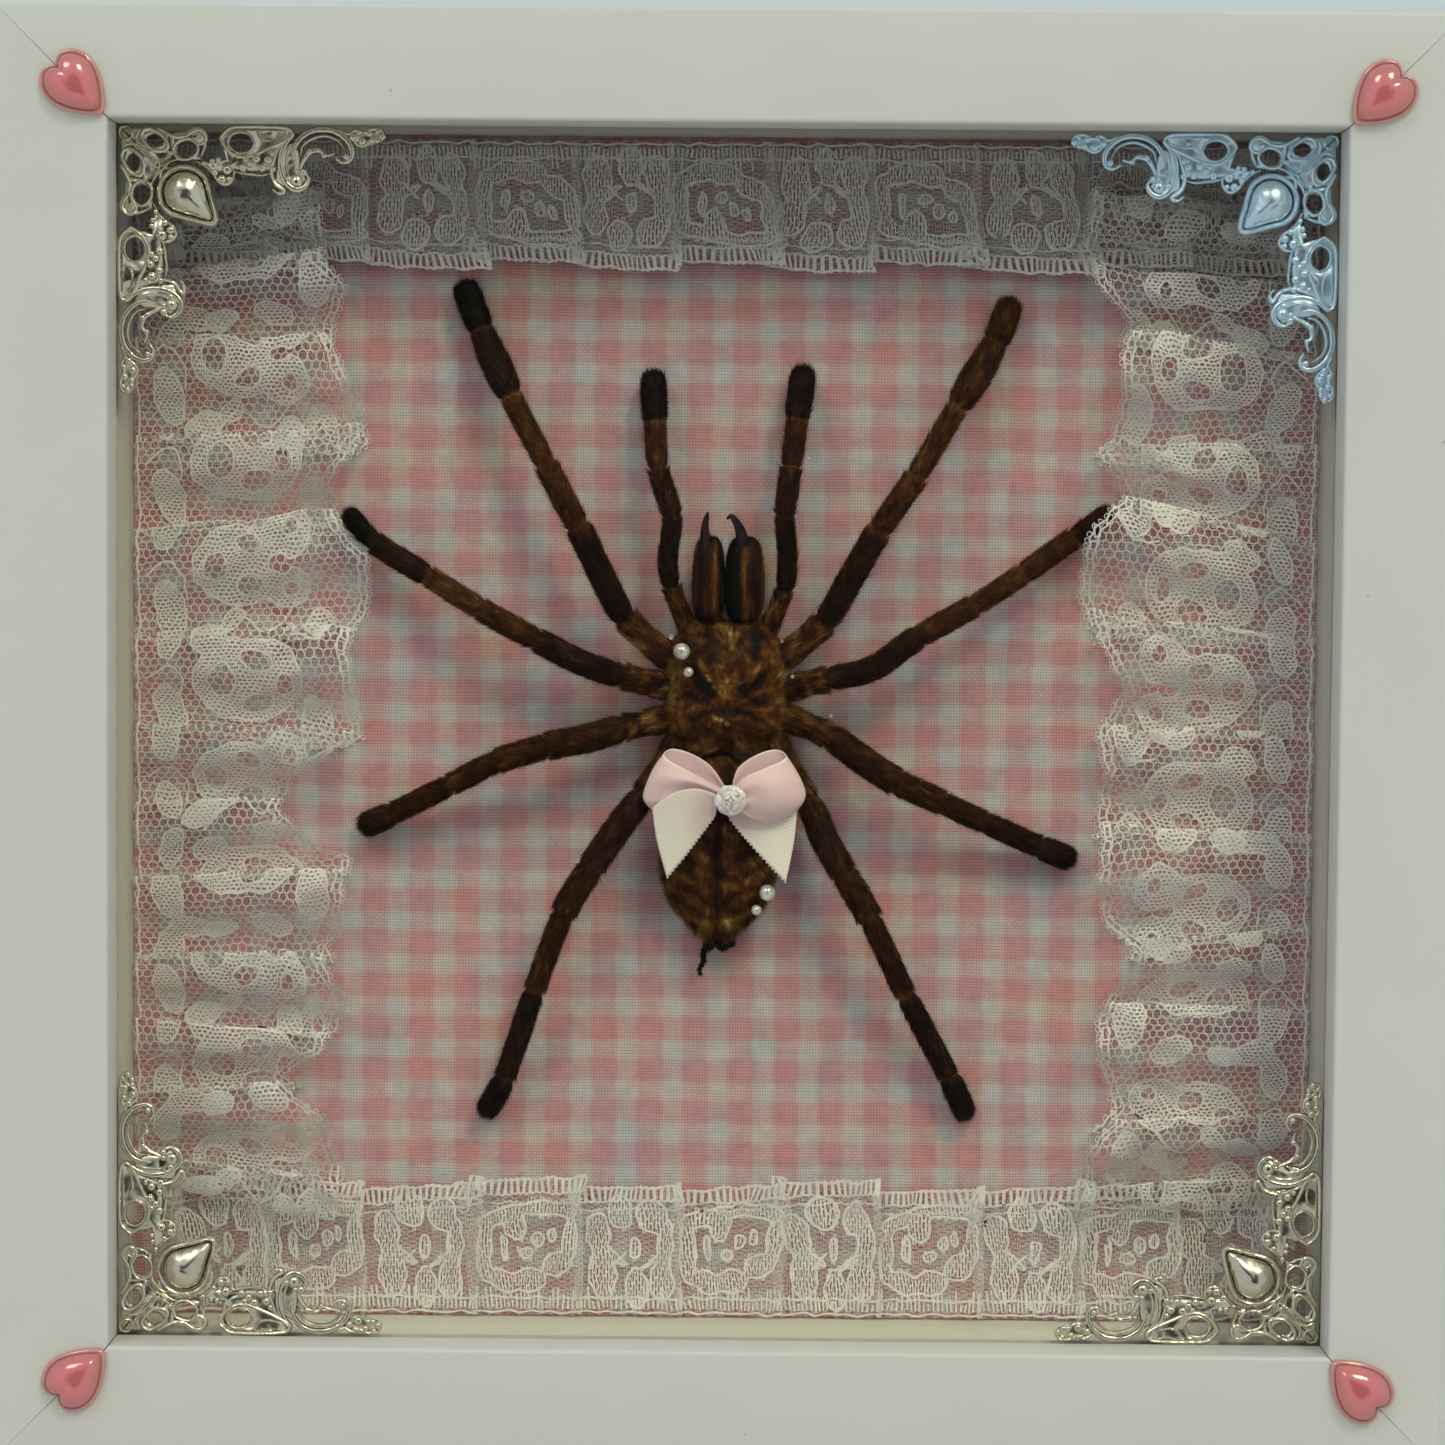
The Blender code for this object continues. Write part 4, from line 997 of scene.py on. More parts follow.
def make_end_lace(material):
    """Narrow lace in flat knife pleats: upright clothwork, garlands and blossoms, a laddered edge."""
    for end, pleats, width, spread, slant, sign, lifted in (
            ("top", TOP_PLEATS, 19.5, 1.0, 0.6, 1, 1.2),
            ("bottom", BOTTOM_PLEATS, 22.0, 1.13, -0.8, -1, 0.9)):
        folds = Folds([(x, x + slant) for x in pleats], 1.95, 1.6, 0.8, 1.05)

        def edge_at(along, end=end, folds=folds):
            phase = folds.phase_at(along)
            part = phase - np.floor(phase)
            if end == "top":
                return 19.4 + 2.4 * np.sin(part * np.pi * 0.75) + 0.7 * np.sin(phase * 3.1)
            return 21.8 + 3.2 * part + 0.9 * np.sin(phase * 2.2)

        motifs = []
        for number in range(len(pleats)):
            centre = folds.flat_at(number + 0.5)
            motifs += [(r * spread, a + centre, h * spread, *rest)
                       for r, a, h, *rest in (GARLAND if number % 2 else BLOSSOM)]
        cords = [[(m[0] + k, m[1] + k) for k in (-1.3, 0, 1.3)] for m in motifs if "cord" in m]
        heap = Heap()
        work_lace(heap, folds, edge_at, motifs, cords, [], (0.5, 0.72, 0.13), (0.9, 0.29, 0.16), 0.4)
        along = np.arange(0.5, folds.length - 0.5, 0.5)
        wavy = 0.16 * np.sin(along * 2 * np.pi / 1.02)
        for inset, cord in ((0.0, 0.42), (2.5, 0.34), (4.0, 0.24)):
            draw_cord(heap, edge_at(along) - inset - wavy, along, cord)
        rungs = np.arange(0.8, folds.length - 0.8, 1.02)
        draw_row(heap, shape_of(flat_shape(4, (1.25, 0.25))), edge_at(rungs) - 1.25, rungs, 0.06)
        bars = np.arange(1.0, folds.length - 1.0, 0.85)
        for steps, half in (((0, 1, 4), 1.9), ((2, 3, 7), 1.2), ((5, 6), 0.7)):
            chosen = bars[np.isin(np.arange(len(bars)) % 8, steps)]
            draw_row(heap, shape_of(flat_shape(4, (half, 0.17))), 1.0 + half, chosen)
        for inset in (0.3, 2.9):
            draw_cord(heap, inset + 0.1 * np.sin(along * 0.9), along, 0.34)

        def world(reach, run, rise, sign=sign, lifted=lifted):
            return np.stack([run * MM, CLOTH_Y - (rise + lifted) * MM,
                             MIDDLE + sign * (INSIDE - LACE_GAP - reach * MM)], 1)

        lay_lace(end, heap, folds, width, world, material, end == "top")


# ---------------------------------------------------------------- trim on the front

# A corner's wires: widths, and places (u, v) in mm from the corner of the opening. They are mirrored in
# the diagonal.
WIRES = [
    (0.34, [(0.35, 0.35), (0.17, 1.39), (0.87, 2.25), (1.91, 2.25), (2.6, 1.56)]),
    (0.46, [(5.37, 0.52), (4.33, 0.87), (3.99, 1.91), (4.68, 3.12), (5.89, 4.16), (7.28, 4.33), (8.49, 3.81),
        (8.15, 2.43), (7.11, 1.39), (5.37, 0.52)]),
    (0.42, [(3.64, 0.87), (3.12, 2.08), (3.64, 3.81), (5.03, 5.37), (6.59, 6.59)]),
    (0.38, [(13.52, 3.12), (13.69, 4.33), (12.48, 5.55), (10.75, 5.72), (9.53, 4.68), (9.71, 3.29),
        (10.92, 2.43), (12.31, 2.25), (13.52, 3.12)]),
    (0.5, [(6.76, 0.35), (8.49, 1.39), (9.88, 1.91), (11.44, 1.73), (12.65, 0.87), (13.86, 0.52),
        (14.9, 1.21), (15.08, 2.43), (14.04, 3.12), (13.34, 2.43), (13.86, 1.56)]),
    (0.34, [(15.08, 2.43), (14.73, 3.99), (14.04, 5.55)]),
    (0.42, [(17.5, 2.08), (18.72, 3.99), (20.97, 5.2), (23.4, 4.85), (26.17, 3.64), (28.77, 2.43),
        (29.98, 1.39), (29.12, 0.35), (25.82, 0.1), (22.36, 0.1), (19.24, 0.35), (17.5, 2.08)]),
    (0.3, [(23.74, 0.69), (24.44, 1.91), (25.82, 2.43), (27.9, 2.08), (29.64, 1.21)]),
    (0.32, [(23.4, 2.95), (22.7, 4.16), (21.14, 4.68), (19.58, 3.99), (18.89, 2.77), (19.58, 1.39),
        (21.14, 1.04), (22.7, 1.56), (23.4, 2.95)]),
    (0.36, [(13.34, 6.07), (15.08, 6.93), (16.29, 8.15), (17.33, 9.53), (18.72, 9.88), (19.76, 8.84),
        (19.76, 7.45), (18.72, 6.41)]),
    (0.3, [(19.58, 7.45), (20.97, 7.97), (22.7, 8.15), (24.78, 8.32), (26.52, 7.8)]),
    (0.62, [(29.98, 1.39), (28.6, 3.12), (27.9, 5.37), (28.08, 7.8), (28.94, 9.71), (30.5, 10.75),
        (32.06, 10.23), (32.76, 8.84), (32.06, 7.8)]),
    (0.34, [(29.64, 2.95), (29.12, 4.68), (28.94, 6.76), (29.46, 8.49), (30.68, 9.19)]),
    (0.46, [(27.21, 4.68), (26.34, 7.11), (26.86, 9.53), (28.6, 10.92), (27.56, 11.44), (26.52, 10.75)]),
    (0.6, [(30.16, 5.72), (30.16, 3.99), (31.2, 2.08), (32.93, 0.87), (35.18, 0.45), (37.44, 0.87),
        (39.34, 2.25), (40.21, 3.99), (39.86, 5.55), (38.65, 6.07), (37.44, 5.37)]),
    (0.32, [(31.37, 4.85), (31.72, 3.29), (33.28, 2.08), (35.53, 1.56), (37.61, 2.25), (38.82, 3.81),
        (38.99, 5.2)]),
    (0.5, [(31.2, 7.45), (31.89, 5.72), (32.93, 4.33), (34.49, 3.99), (35.7, 4.85), (37.09, 4.51)]),
    (0.4, [(37.95, 0.52), (39.51, 1.21), (40.9, 0.52), (42.11, 1.04), (43.5, 0.4), (45.1, 0.45),
        (45.75, 1.39), (45.06, 2.43)]),
    (0.36, [(40.03, 1.91), (41.42, 3.12), (42.81, 2.95), (43.67, 1.73), (44.54, 1.04)]),
    (0.28, [(5.2, 6.07), (6.76, 6.41), (8.67, 5.03)]), (0.28, [(5.72, 7.11), (7.28, 6.93), (9.19, 5.37)]),
    (0.36, [(7.11, 9.19), (7.63, 7.45), (9.19, 6.07), (11.27, 5.55)]),
]
BEADS = [
    (14.73, 6.41, 0.52), (16.12, 5.89, 0.55), (17.16, 5.72, 0.55), (16.64, 7.97, 0.62), (18.72, 7.45, 0.94),
    (17.85, 9.01, 0.8), (19.06, 9.01, 0.55), (21.49, 7.11, 0.78), (22.7, 6.41, 0.73), (23.74, 5.55, 0.8),
    (24.78, 7.11, 0.76), (25.82, 5.72, 0.8), (26.52, 7.28, 0.66), (26.52, 4.68, 0.55), (22.01, 5.72, 0.62),
    (30.68, 9.19, 1.14), (31.89, 7.8, 0.73), (30.85, 7.8, 0.55), (29.29, 9.01, 0.59), (39.17, 5.03, 0.66),
    (32.93, 4.16, 0.59), (35.36, 4.85, 0.55), (40.38, 1.73, 0.73), (41.42, 0.87, 0.62), (41.94, 2.43, 0.8),
    (43.15, 1.04, 0.69), (43.67, 2.25, 0.59), (44.71, 0.69, 0.55), (45.41, 1.56, 0.66), (44.54, 2.25, 0.52),
    (7.97, 4.33, 0.45), (9.01, 4.68, 0.52), (6.59, 6.07, 0.45)
]
PLATES = [  # (outline, holes) of the stamped sheet behind the wires, in mm, mirrored too
    ([(0.3, 0.3), (6.8, 0.3), (8.8, 1.4), (8.6, 3.9), (9.6, 5.0), (7.0, 7.0), (5.0, 5.0)],
     [((6.2, 2.5), 1.5, 1.1)]),
    ([(8.6, 1.2), (14.6, 0.6), (15.2, 2.6), (13.8, 3.4), (14.4, 5.8), (12.4, 6.0), (9.4, 5.6), (8.8, 3.6)],
     [((11.7, 4.0), 1.7, 1.4)]),
    ([(17.3, 2.0), (19.2, 0.3), (29.6, 0.3), (29.4, 2.0), (27.6, 4.4), (26.8, 7.4), (23.0, 7.8), (19.6, 7.4),
      (16.0, 8.0), (14.6, 6.2), (18.4, 5.6)], [((21.1, 2.8), 2.0, 1.6)]),
    ([(28.6, 3.2), (30.4, 2.4), (31.2, 4.4), (31.4, 7.4), (32.4, 9.0), (31.0, 10.6), (28.8, 10.4),
      (27.0, 9.6),
      (27.2, 6.0)], []),
    ([(38.8, 1.0), (45.2, 0.5), (45.4, 2.4), (42.4, 3.4), (40.4, 2.8)], []),
]


def corner_place(u, v, lift):
    """A point of the bottom left corner about the frame's middle, lifted from the glass, in mm."""
    return Vector((u * MM - INSIDE, FRONT_Y + 0.0096 - lift * MM, v * MM - INSIDE))


def teardrop(radius, tip, points=40):
    """Outline (along, across) in mm of a round drop with its tip along the diagonal."""
    outline = []
    for step in range(points):
        a = 2 * math.pi * step / points
        forward = max(0.0, math.cos(a))
        outline.append((radius * math.cos(a) + forward ** 4 * (tip - radius),
                        radius * math.sin(a) * (1 - 0.32 * forward ** 2)))
    return outline


def drop_place(along, across, lift):
    """A point of the drop, given along and across the diagonal from the drop's centre."""
    return corner_place(11.4 + (along - across) / math.sqrt(2), 11.4 + (along + across) / math.sqrt(2), lift)


def corner_mesh():
    """One stamped corner: pierced sheet, scrolled wires, beads and a framed drop."""
    heap = Heap()
    for mirrored in (False, True):
        bm = bmesh.new()

        def spot(u, v, lift, mirrored=mirrored):
            return corner_place(v, u, lift) if mirrored else corner_place(u, v, lift)

        for width, points in WIRES:
            middle = [spot(p.x, p.y, 0.42) for p in smooth_path([(u, v, 0) for u, v in points], 4)]
            last = len(middle) - 1
            sections = []
            for index, centre in enumerate(middle):
                along = middle[min(index + 1, last)] - middle[max(index - 1, 0)]
                swell = 1.0
                if points[0] != points[-1]:
                    swell = 0.55 + 0.45 * math.sin(math.pi * min(index / last * 1.15, 1.0)) ** 0.6
                sections.append(section(centre, along, FACING, width * swell * MM,
                                        0.55 * MM * (0.5 + swell / 2)))
            sweep(bm, sections, 8)
        for u, v, radius in BEADS:
            ball(bm, spot(u, v, 0.5), (radius * MM, min(radius, 0.85) * MM, radius * MM), 10, 7)
        for outline, holes in PLATES:
            edges = outline_edges(bm, [spot(u, v, 0.12) for u, v in outline])
            for (u, v), half_u, half_v in holes:
                edges += outline_edges(bm, [spot(u + half_u * math.cos(a), v + half_v * math.sin(a), 0.12)
                                            for a in np.linspace(0, 2 * math.pi, 10, endpoint=False)])
            filled = bmesh.ops.triangle_fill(bm, use_beauty=True, edges=edges, normal=FACING)["geom"]
            grown = bmesh.ops.extrude_face_region(bm, geom=of_kind(bmesh.types.BMFace, filled))["geom"]
            bmesh.ops.translate(bm, vec=FACING * 0.00025, verts=of_kind(bmesh.types.BMVert, grown))
            bmesh.ops.inset_region(bm, faces=of_kind(bmesh.types.BMFace, grown),
                                   thickness=0.0005, depth=0.0004, use_even_offset=True)
        heap.add_mesh(finish_mesh("half_corner", bm))
    bm = bmesh.new()
    rim = [drop_place(x, y, 0.55) for x, y in teardrop(4.35, 7.3)]
    around = [rim[index + 1 - len(rim)] - rim[index - 1] for index in range(len(rim))]
    sections = [section(centre, along, FACING, 0.5 * MM, 0.75 * MM) for centre, along in zip(rim, around)]
    sweep(bm, sections + sections[:1], 8)
    shell(bm, [[drop_place(x * scale, y * scale, lift) for x, y in teardrop(3.75, 6.6)] for scale, lift in (
        (1.0, 0.1), (0.99, 0.5), (0.9, 0.95), (0.75, 1.45), (0.55, 1.95), (0.34, 2.3), (0.16, 2.48),
        (0.05, 2.52))])
    heap.add_mesh(finish_mesh("drop", bm))
    return heap


def make_corners(settings):
    champagne = silver_material("champagne_silver_plate", tuple(settings.silver), linear("#40351f"),
                                1.0, 0.17)
    # The top right corner is the same plate in a bluish copy: a painted blue reflection.
    blue_lit_silver = silver_material("silver_plate_painted_blue_reflection", linear("#cfe6f5"), linear("#3c5564"), 0.88, 0.26)
    for turn, corner in enumerate(CORNERS):
        mesh = corner_mesh().mesh("corner_" + corner)
        mesh.transform(quarter_turn(turn))
        silver = blue_lit_silver if corner == "top_right" else champagne
        add_piece("silver_corner_" + corner, mesh, silver, ["filigree_" + corner], crease=50)


HEART = [
    (0, 4.3), (1.3, 5.2), (2.7, 5.2), (4.1, 4.1), (5.0, 2.2), (5.0, 0.0), (4.2, -2.2), (2.9, -4.3),
    (1.3, -6.2), (0, -7.0)
]
# The heart from its back to its top: scale of the outline, lift in mm, and how round it has become.
HEART_LAYERS = (
    (0.97, 0.0, 0), (1.0, 0.25, 0), (1.0, 0.7, 0), (0.975, 1.05, 0), (0.93, 1.25, 0), (0.89, 1.22, 0),
    (0.865, 1.08, 0), (0.845, 1.4, 0), (0.8, 2.1, 0), (0.72, 2.8, 0.05), (0.6, 3.3, 0.15), (0.44, 3.65, 0.3),
    (0.25, 3.88, 0.6), (0.06, 3.95, 1)
)
HEART_OUT = 110.8  # mm from the frame's middle, across and up


def heart_mesh():
    """A puffed heart on a rolled rim, its tip towards the frame's middle."""
    half = [(across, along, 0) for across, along in HEART]
    outline = smooth_path(half + [(-across, along, 0) for across, along, _ in half[-2::-1]], 4)[:-1]

    def layer(scale, lift, roundness):
        for spot in outline:
            away = Vector((spot.x, spot.y + 0.4)).normalized() * 4.4
            across = (spot.x * (1 - roundness) + away.x * roundness) * scale
            along = (spot.y * (1 - roundness) + (away.y + 0.3) * roundness) * scale
            yield (((across - along) / math.sqrt(2) - HEART_OUT) * MM, FRONT_Y + 0.00001 - lift * MM,
                   ((-across - along) / math.sqrt(2) - HEART_OUT) * MM)

    bm = bmesh.new()
    shell(bm, [layer(*row) for row in HEART_LAYERS])
    return finish_mesh("heart", bm)


def make_hearts(settings):
    acrylic = heart_material(settings)
    for turn, corner in enumerate(CORNERS):
        mesh = heart_mesh()
        mesh.transform(quarter_turn(turn))
        add_piece("pearly_heart_" + corner, mesh, acrylic, ["heart_" + corner], crease=60)


# ---------------------------------------------------------------- tarantula

# Stations of a leg: base, end of the coxa, middle of the femur, knee, end of the patella, end of the tibia,
# end of the metatarsus, tip. A palp has no metatarsus.
LEG_JOINTS = (0, 1, 3, 4, 5, 6, 7)
PALP_JOINTS = (0, 1, 3, 4, 5, 6)
SPAN_STEPS = 12
LEGS = {
    "leg_1_left": [
        (-7.4, 136.6, 5.0), (-17.1, 145.1, 8.0), (-21.6, 153.0, 9.8), (-25.6, 161.2, 10.8),
        (-31.3, 172.0, 10.2), (-37.7, 184.0, 7.8), (-43.2, 195.8, 4.4), (-46.6, 204.4, 2.9)
    ],
    "leg_1_right": [
        (8.4, 137.2, 5.0), (17.2, 144.6, 8.0), (22.3, 153.1, 9.8), (26.8, 161.0, 10.8), (33.2, 170.5, 10.2),
        (40.4, 182.7, 7.8), (47.2, 194.3, 4.4), (50.2, 202.2, 2.9)
    ],
    "leg_2_left": [
        (-8.6, 133.0, 5.0), (-17.4, 135.1, 7.8), (-24.6, 137.4, 9.2), (-32.7, 141.5, 10.4),
        (-42.6, 146.7, 9.6), (-52.0, 152.4, 7.4), (-61.8, 158.3, 5.0), (-66.9, 163.8, 4.4)
    ],
    "leg_2_right": [
        (9.6, 132.8, 5.0), (18.0, 135.0, 7.8), (26.1, 137.0, 9.2), (33.8, 142.5, 10.4), (43.5, 148.0, 9.2),
        (52.3, 153.6, 6.2), (61.5, 160.1, 3.4), (68.4, 165.1, 2.3)
    ],
    "leg_3_left": [
        (-8.6, 127.9, 5.0), (-17.2, 126.2, 7.6), (-23.8, 124.3, 9.2), (-30.8, 122.9, 10.2),
        (-39.5, 120.2, 9.6), (-47.9, 115.9, 7.4), (-58.3, 110.5, 4.1), (-64.4, 107.7, 2.7)
    ],
    "leg_3_right": [
        (9.6, 128.6, 5.0), (18.1, 125.3, 7.6), (24.5, 120.9, 9.2), (30.3, 117.3, 10.2), (38.4, 113.6, 9.6),
        (45.9, 110.1, 7.4), (56.1, 105.5, 4.1), (62.5, 102.9, 2.7)
    ],
    "leg_4_left": [
        (-5.0, 129.0, 5.0), (-13.8, 114.8, 7.4), (-18.4, 108.5, 9.4), (-22.9, 101.8, 10.6),
        (-27.8, 93.6, 10.2), (-33.0, 79.6, 7.6), (-38.5, 63.4, 4.1), (-42.3, 56.3, 2.7)
    ],
    "leg_4_right": [
        (6.0, 129.0, 5.0), (14.7, 114.1, 7.4), (17.9, 107.0, 9.4), (21.3, 101.2, 10.6), (26.0, 93.2, 10.2),
        (32.6, 79.4, 7.6), (40.6, 64.3, 4.1), (44.2, 56.5, 2.7)
    ],
}
LEG_WIDTHS = {
    "1": (5.0, 4.6, 4.2, 3.8, 5.2, 4.8),
    "2": (4.8, 4.3, 4.0, 3.7, 3.9, 3.5),
    "3": (4.8, 4.9, 4.4, 3.9, 3.8, 4.3),
    "4": (4.4, 4.9, 4.7, 3.8, 3.8, 4.1),
}
PALPS = {
    "palp_left": [
        (-5.6, 142.0, 5.0), (-9.3, 150.8, 6.8), (-10.0, 156.5, 7.8), (-9.4, 163.3, 8.3), (-11.8, 171.6, 7.8),
        (-12.5, 179.7, 5.6), (-13.0, 189.0, 3.1)
    ],
    "palp_right": [
        (7.0, 142.0, 5.0), (10.4, 150.3, 6.8), (11.0, 156.6, 7.8), (10.5, 163.5, 8.3), (11.5, 172.1, 7.8),
        (12.5, 180.3, 5.6), (13.7, 190.1, 3.1)
    ],
}
PALP_WIDTHS = (3.4, 3.4, 3.7, 3.7, 4.5)
# Tone of each segment, from black at 0 to tan at 1.
LIMB_TONES = {
    "leg_1_left": (0.52, 0.27, 0.46, 0.5, 0.3, 0.06), "leg_1_right": (0.52, 0.32, 0.46, 0.5, 0.42, 0.42),
    "leg_2_left": (0.52, 0.32, 0.48, 0.54, 0.34, 0.1), "leg_2_right": (0.5, 0.34, 0.46, 0.5, 0.46, 0.3),
    "leg_3_left": (0.54, 0.42, 0.44, 0.44, 0.4, 0.34), "leg_3_right": (0.54, 0.4, 0.44, 0.4, 0.34, 0.26),
    "leg_4_left": (0.44, 0.36, 0.4, 0.42, 0.32, 0.2), "leg_4_right": (0.44, 0.36, 0.44, 0.4, 0.3, 0.18),
    "palp_left": (0.46, 0.24, 0.36, 0.46, 0.18), "palp_right": (0.46, 0.24, 0.34, 0.4, 0.2),
}


SEGMENT_STEPS = (0.0, 0.03, 0.06, 0.13, 0.25, 0.38, 0.51, 0.64, 0.76, 0.87, 0.94, 0.985)
LAST_STEPS = (0.0, 0.03, 0.06, 0.15, 0.28, 0.42, 0.56, 0.68, 0.79, 0.88, 0.95, 0.99, 1.0)


def hair_shape():
    """A hair: a cone of three sides, one unit long, about +Z."""
    bm = bmesh.new()
    bmesh.ops.create_cone(bm, cap_ends=True, cap_tris=False, segments=3, radius1=1.0, radius2=0.0, depth=1.0,
                          matrix=Matrix.Translation((0, 0, 0.5)))
    bmesh.ops.remove_doubles(bm, verts=bm.verts, dist=1e-6)
    bmesh.ops.triangulate(bm, faces=bm.faces)
    return shape_of(bm)


def unit(vectors, least=0.0):
    return vectors / np.maximum(np.linalg.norm(vectors, axis=1), least)[:, None]


def grow_hair(heap, mesh, random, unlike, count, width, length, lift, flow, where=None):
    """Scatters hairs over a mesh that has its marks. They lie along flow, lifted, and differ in tone."""
    mesh.calc_loop_triangles()
    points = mesh_points(mesh)
    corners = np.empty(len(mesh.loop_triangles) * 3, int)
    mesh.loop_triangles.foreach_get("vertices", corners)
    corners = corners.reshape(-1, 3)
    a, b, c = (points[corners[:, k]] for k in range(3))
    areas = np.linalg.norm(np.cross(b - a, c - a), axis=1)
    if where is not None:
        areas = areas * where((a + b + c) / 3)
    chosen = random.choice(len(corners), count, p=areas / areas.sum())
    weights = random.random((count, 2))
    weights = np.where(weights.sum(1, keepdims=True) > 1, 1 - weights, weights)
    weights = np.column_stack([1 - weights.sum(1), weights])

    def at(values):
        return (values[corners[chosen]] * weights[:, :, None]).sum(1)

    roots, normal = at(points), unit(at(np.array([v.normal for v in mesh.vertices])))
    tone, grain = at(read_mark(mesh, "tone"))[:, 0], at(read_mark(mesh, "grain"))
    lie = flow(roots)
    lie = unit(lie - normal * (lie * normal).sum(1)[:, None], 1e-9)
    side = np.cross(normal, lie)
    swing = random.normal(0, 0.26, (count, 1))
    pointing = unit(lie + side * swing + normal * (lift * random.uniform(0.4, 1.6, (count, 1))))
    side = unit(np.cross(normal, pointing))
    long = np.full(count, length) * random.uniform(0.6, 1.25, count)
    thick = width * random.uniform(0.7, 1.2, count) / 2
    matrices = np.stack([side * thick[:, None], np.cross(pointing, side) * thick[:, None],
                         pointing * long[:, None], roots - normal * width * 0.3], 2)
    heap_copies(heap, hair_shape(), matrices, tone=tone, grain=grain,
                strand=0.5 + (random.random(count) - 0.5) * unlike)


def furry_piece(name, node, mesh, tone, grain, hide, random, unlike, groups):
    """A part of the animal: its skin with hair groups (count, width, length, lift, flow, where) on it."""
    write_mark(mesh, "tone", tone)
    write_mark(mesh, "grain", grain)
    heap = Heap("tone", "grain", "strand")
    heap.add_mesh(mesh, tone=tone, grain=grain, strand=0.35)
    for group in groups:
        grow_hair(heap, mesh, random, unlike, *group)
    add_piece(name, heap.mesh(name), hide, [node] if node else ())


def body_piece(name, node, mesh, tone, grain, hide, random, groups):
    """A part of the trunk, its hair groups' widths and lengths in mm."""
    furry_piece(name, node, mesh, tone, grain, hide, random, 0.55,
                [(count, width * MM, length * MM, *rest) for count, width, length, *rest in groups])


def limb_skin(name, stations, joints, widths, tones):
    """A limb's skin with its marks: each segment swells from a drawn-in joint and changes tone there."""
    path = smooth_path(stations, SPAN_STEPS)
    bm = bmesh.new()
    mark = bm.verts.layers.float.new("place")
    sections, values = [], []
    last_segment = len(widths) - 1
    for segment, width in enumerate(widths):
        first, last = joints[segment] * SPAN_STEPS, joints[segment + 1] * SPAN_STEPS
        for step, t in enumerate(LAST_STEPS if segment == last_segment else SEGMENT_STEPS):
            spot = first + (last - first) * t
            low = min(int(spot), len(path) - 2)
            centre = path[low].lerp(path[low + 1], spot - low)
            ahead = path[min(low + 2, len(path) - 1)] - path[max(low - 1, 0)]
            swell = 0.9 + 0.07 * math.sin(math.pi * t) + 0.09 * max(0.0, (t - 0.72) / 0.28) ** 1.5
            if segment:
                swell *= (0.84, 0.84, 0.94)[step] if step < 3 else 1
            else:  # the coxa, and the short trochanter beyond a groove
                swell *= (0.9 + 0.12 * abs(math.sin(math.pi * min(t / 0.62, 1.0)))
                          + 0.1 * max(0.0, (t - 0.66) / 0.34))
            if segment == last_segment:
                swell *= math.sqrt(max(0.004, 1 - max(0.0, (t - 0.62) / 0.38) ** 2.6))
            if segment == last_segment - 1 and width > widths[segment - 1] * 1.2:
                swell *= 0.80 + 0.22 * math.sin(math.pi * min(1.0, t * 1.05)) ** 0.7
            sections.append(section(place(*centre), place(*(centre + ahead)) - place(*centre), FACING,
                                    width / 2 * swell * MM, width * 0.47 * swell * MM))
            values.append(segment + t)
    sweep(bm, sections, 18, mark, values)
    mesh = finish_mesh(name, bm)
    spots = read_mark(mesh, "place")[:, 0]
    points = mesh_points(mesh)
    steps = [(b.translation - a.translation).length for a, b in zip(sections, sections[1:])]
    along = np.interp(spots, values, np.concatenate([[0], np.cumsum(steps)])) / MM
    centres = np.array([s.translation for s in sections])
    off = (points - np.stack([np.interp(spots, values, centres[:, k]) for k in range(3)], 1)) / MM
    table, levels = [], []
    for segment, tone in enumerate(tones):
        pale = 0.58 - tone if segment >= len(tones) - 2 else 0.05
        table += [segment + k for k in (-0.01, 0.02, 0.045, 0.9, 0.98)]
        levels += [tone + pale, tone + pale, tone, tone, tone + 0.04]
    tone = np.interp(spots, table, levels)
    mottle = fractal(specimen_mm(points), 0.55, 3.0)
    tone += mottle * np.interp(spots, [0.0, 0.9, 1.1, len(tones)], [0.42, 0.42, 0.16, 0.12])
    tone += 0.16 * np.exp(-((spots - 0.64) / 0.035) ** 2)
    return mesh, tone, np.stack([off[:, 0] * 1.5 + off[:, 2], off[:, 1] * 1.5, along * 0.4], 1), path


def make_limbs(settings, hide):
    """Eight legs and two palps, each a skin under short hair that points to its tip."""
    for number, (name, stations) in enumerate({**LEGS, **PALPS}.items()):
        leg = name.startswith("leg")
        joints = LEG_JOINTS if leg else PALP_JOINTS
        widths = LEG_WIDTHS[name[4]] if leg else PALP_WIDTHS
        mesh, tone, grain, path = limb_skin(name, stations, joints, widths, LIMB_TONES[name])
        line = np.array([place(*p) for p in path])
        ahead = np.gradient(line, axis=0)
        bare = np.array([path[SPAN_STEPS * joint] for joint in joints[-3:-1]])

        def flow(roots, line=line, ahead=ahead):
            nearest = np.argmin(((roots[:, None] - line[None]) ** 2).sum(2), axis=1)
            return unit(ahead[nearest])

        def off_joints(spots, bare=bare):
            reach = np.linalg.norm(specimen_mm(spots)[:, None] - bare[None], axis=2).min(1)
            return np.where(reach < 1.9, 0.45, 1.0)

        count = settings.hairs if leg else int(settings.hairs * 0.55)
        furry_piece("hairy_" + name, name, mesh, tone, grain, hide,
                    np.random.default_rng(100 + number), 1.0, [
                        (count, settings.hair_width, settings.hair_length, 0.26, flow, off_joints),
                        (count // 8, settings.hair_width * 0.7, settings.hair_length * 1.5, 0.5, flow,
                         off_joints)])


def fractal(points, scale, seed):
    """Cloudy noise at points in mm, about -0.5 to 0.5."""
    return np.array([noise.fractal(Vector((x * scale, y * scale, z * scale + seed)), 0.6, 2.0, 3)
                     for x, y, z in points])


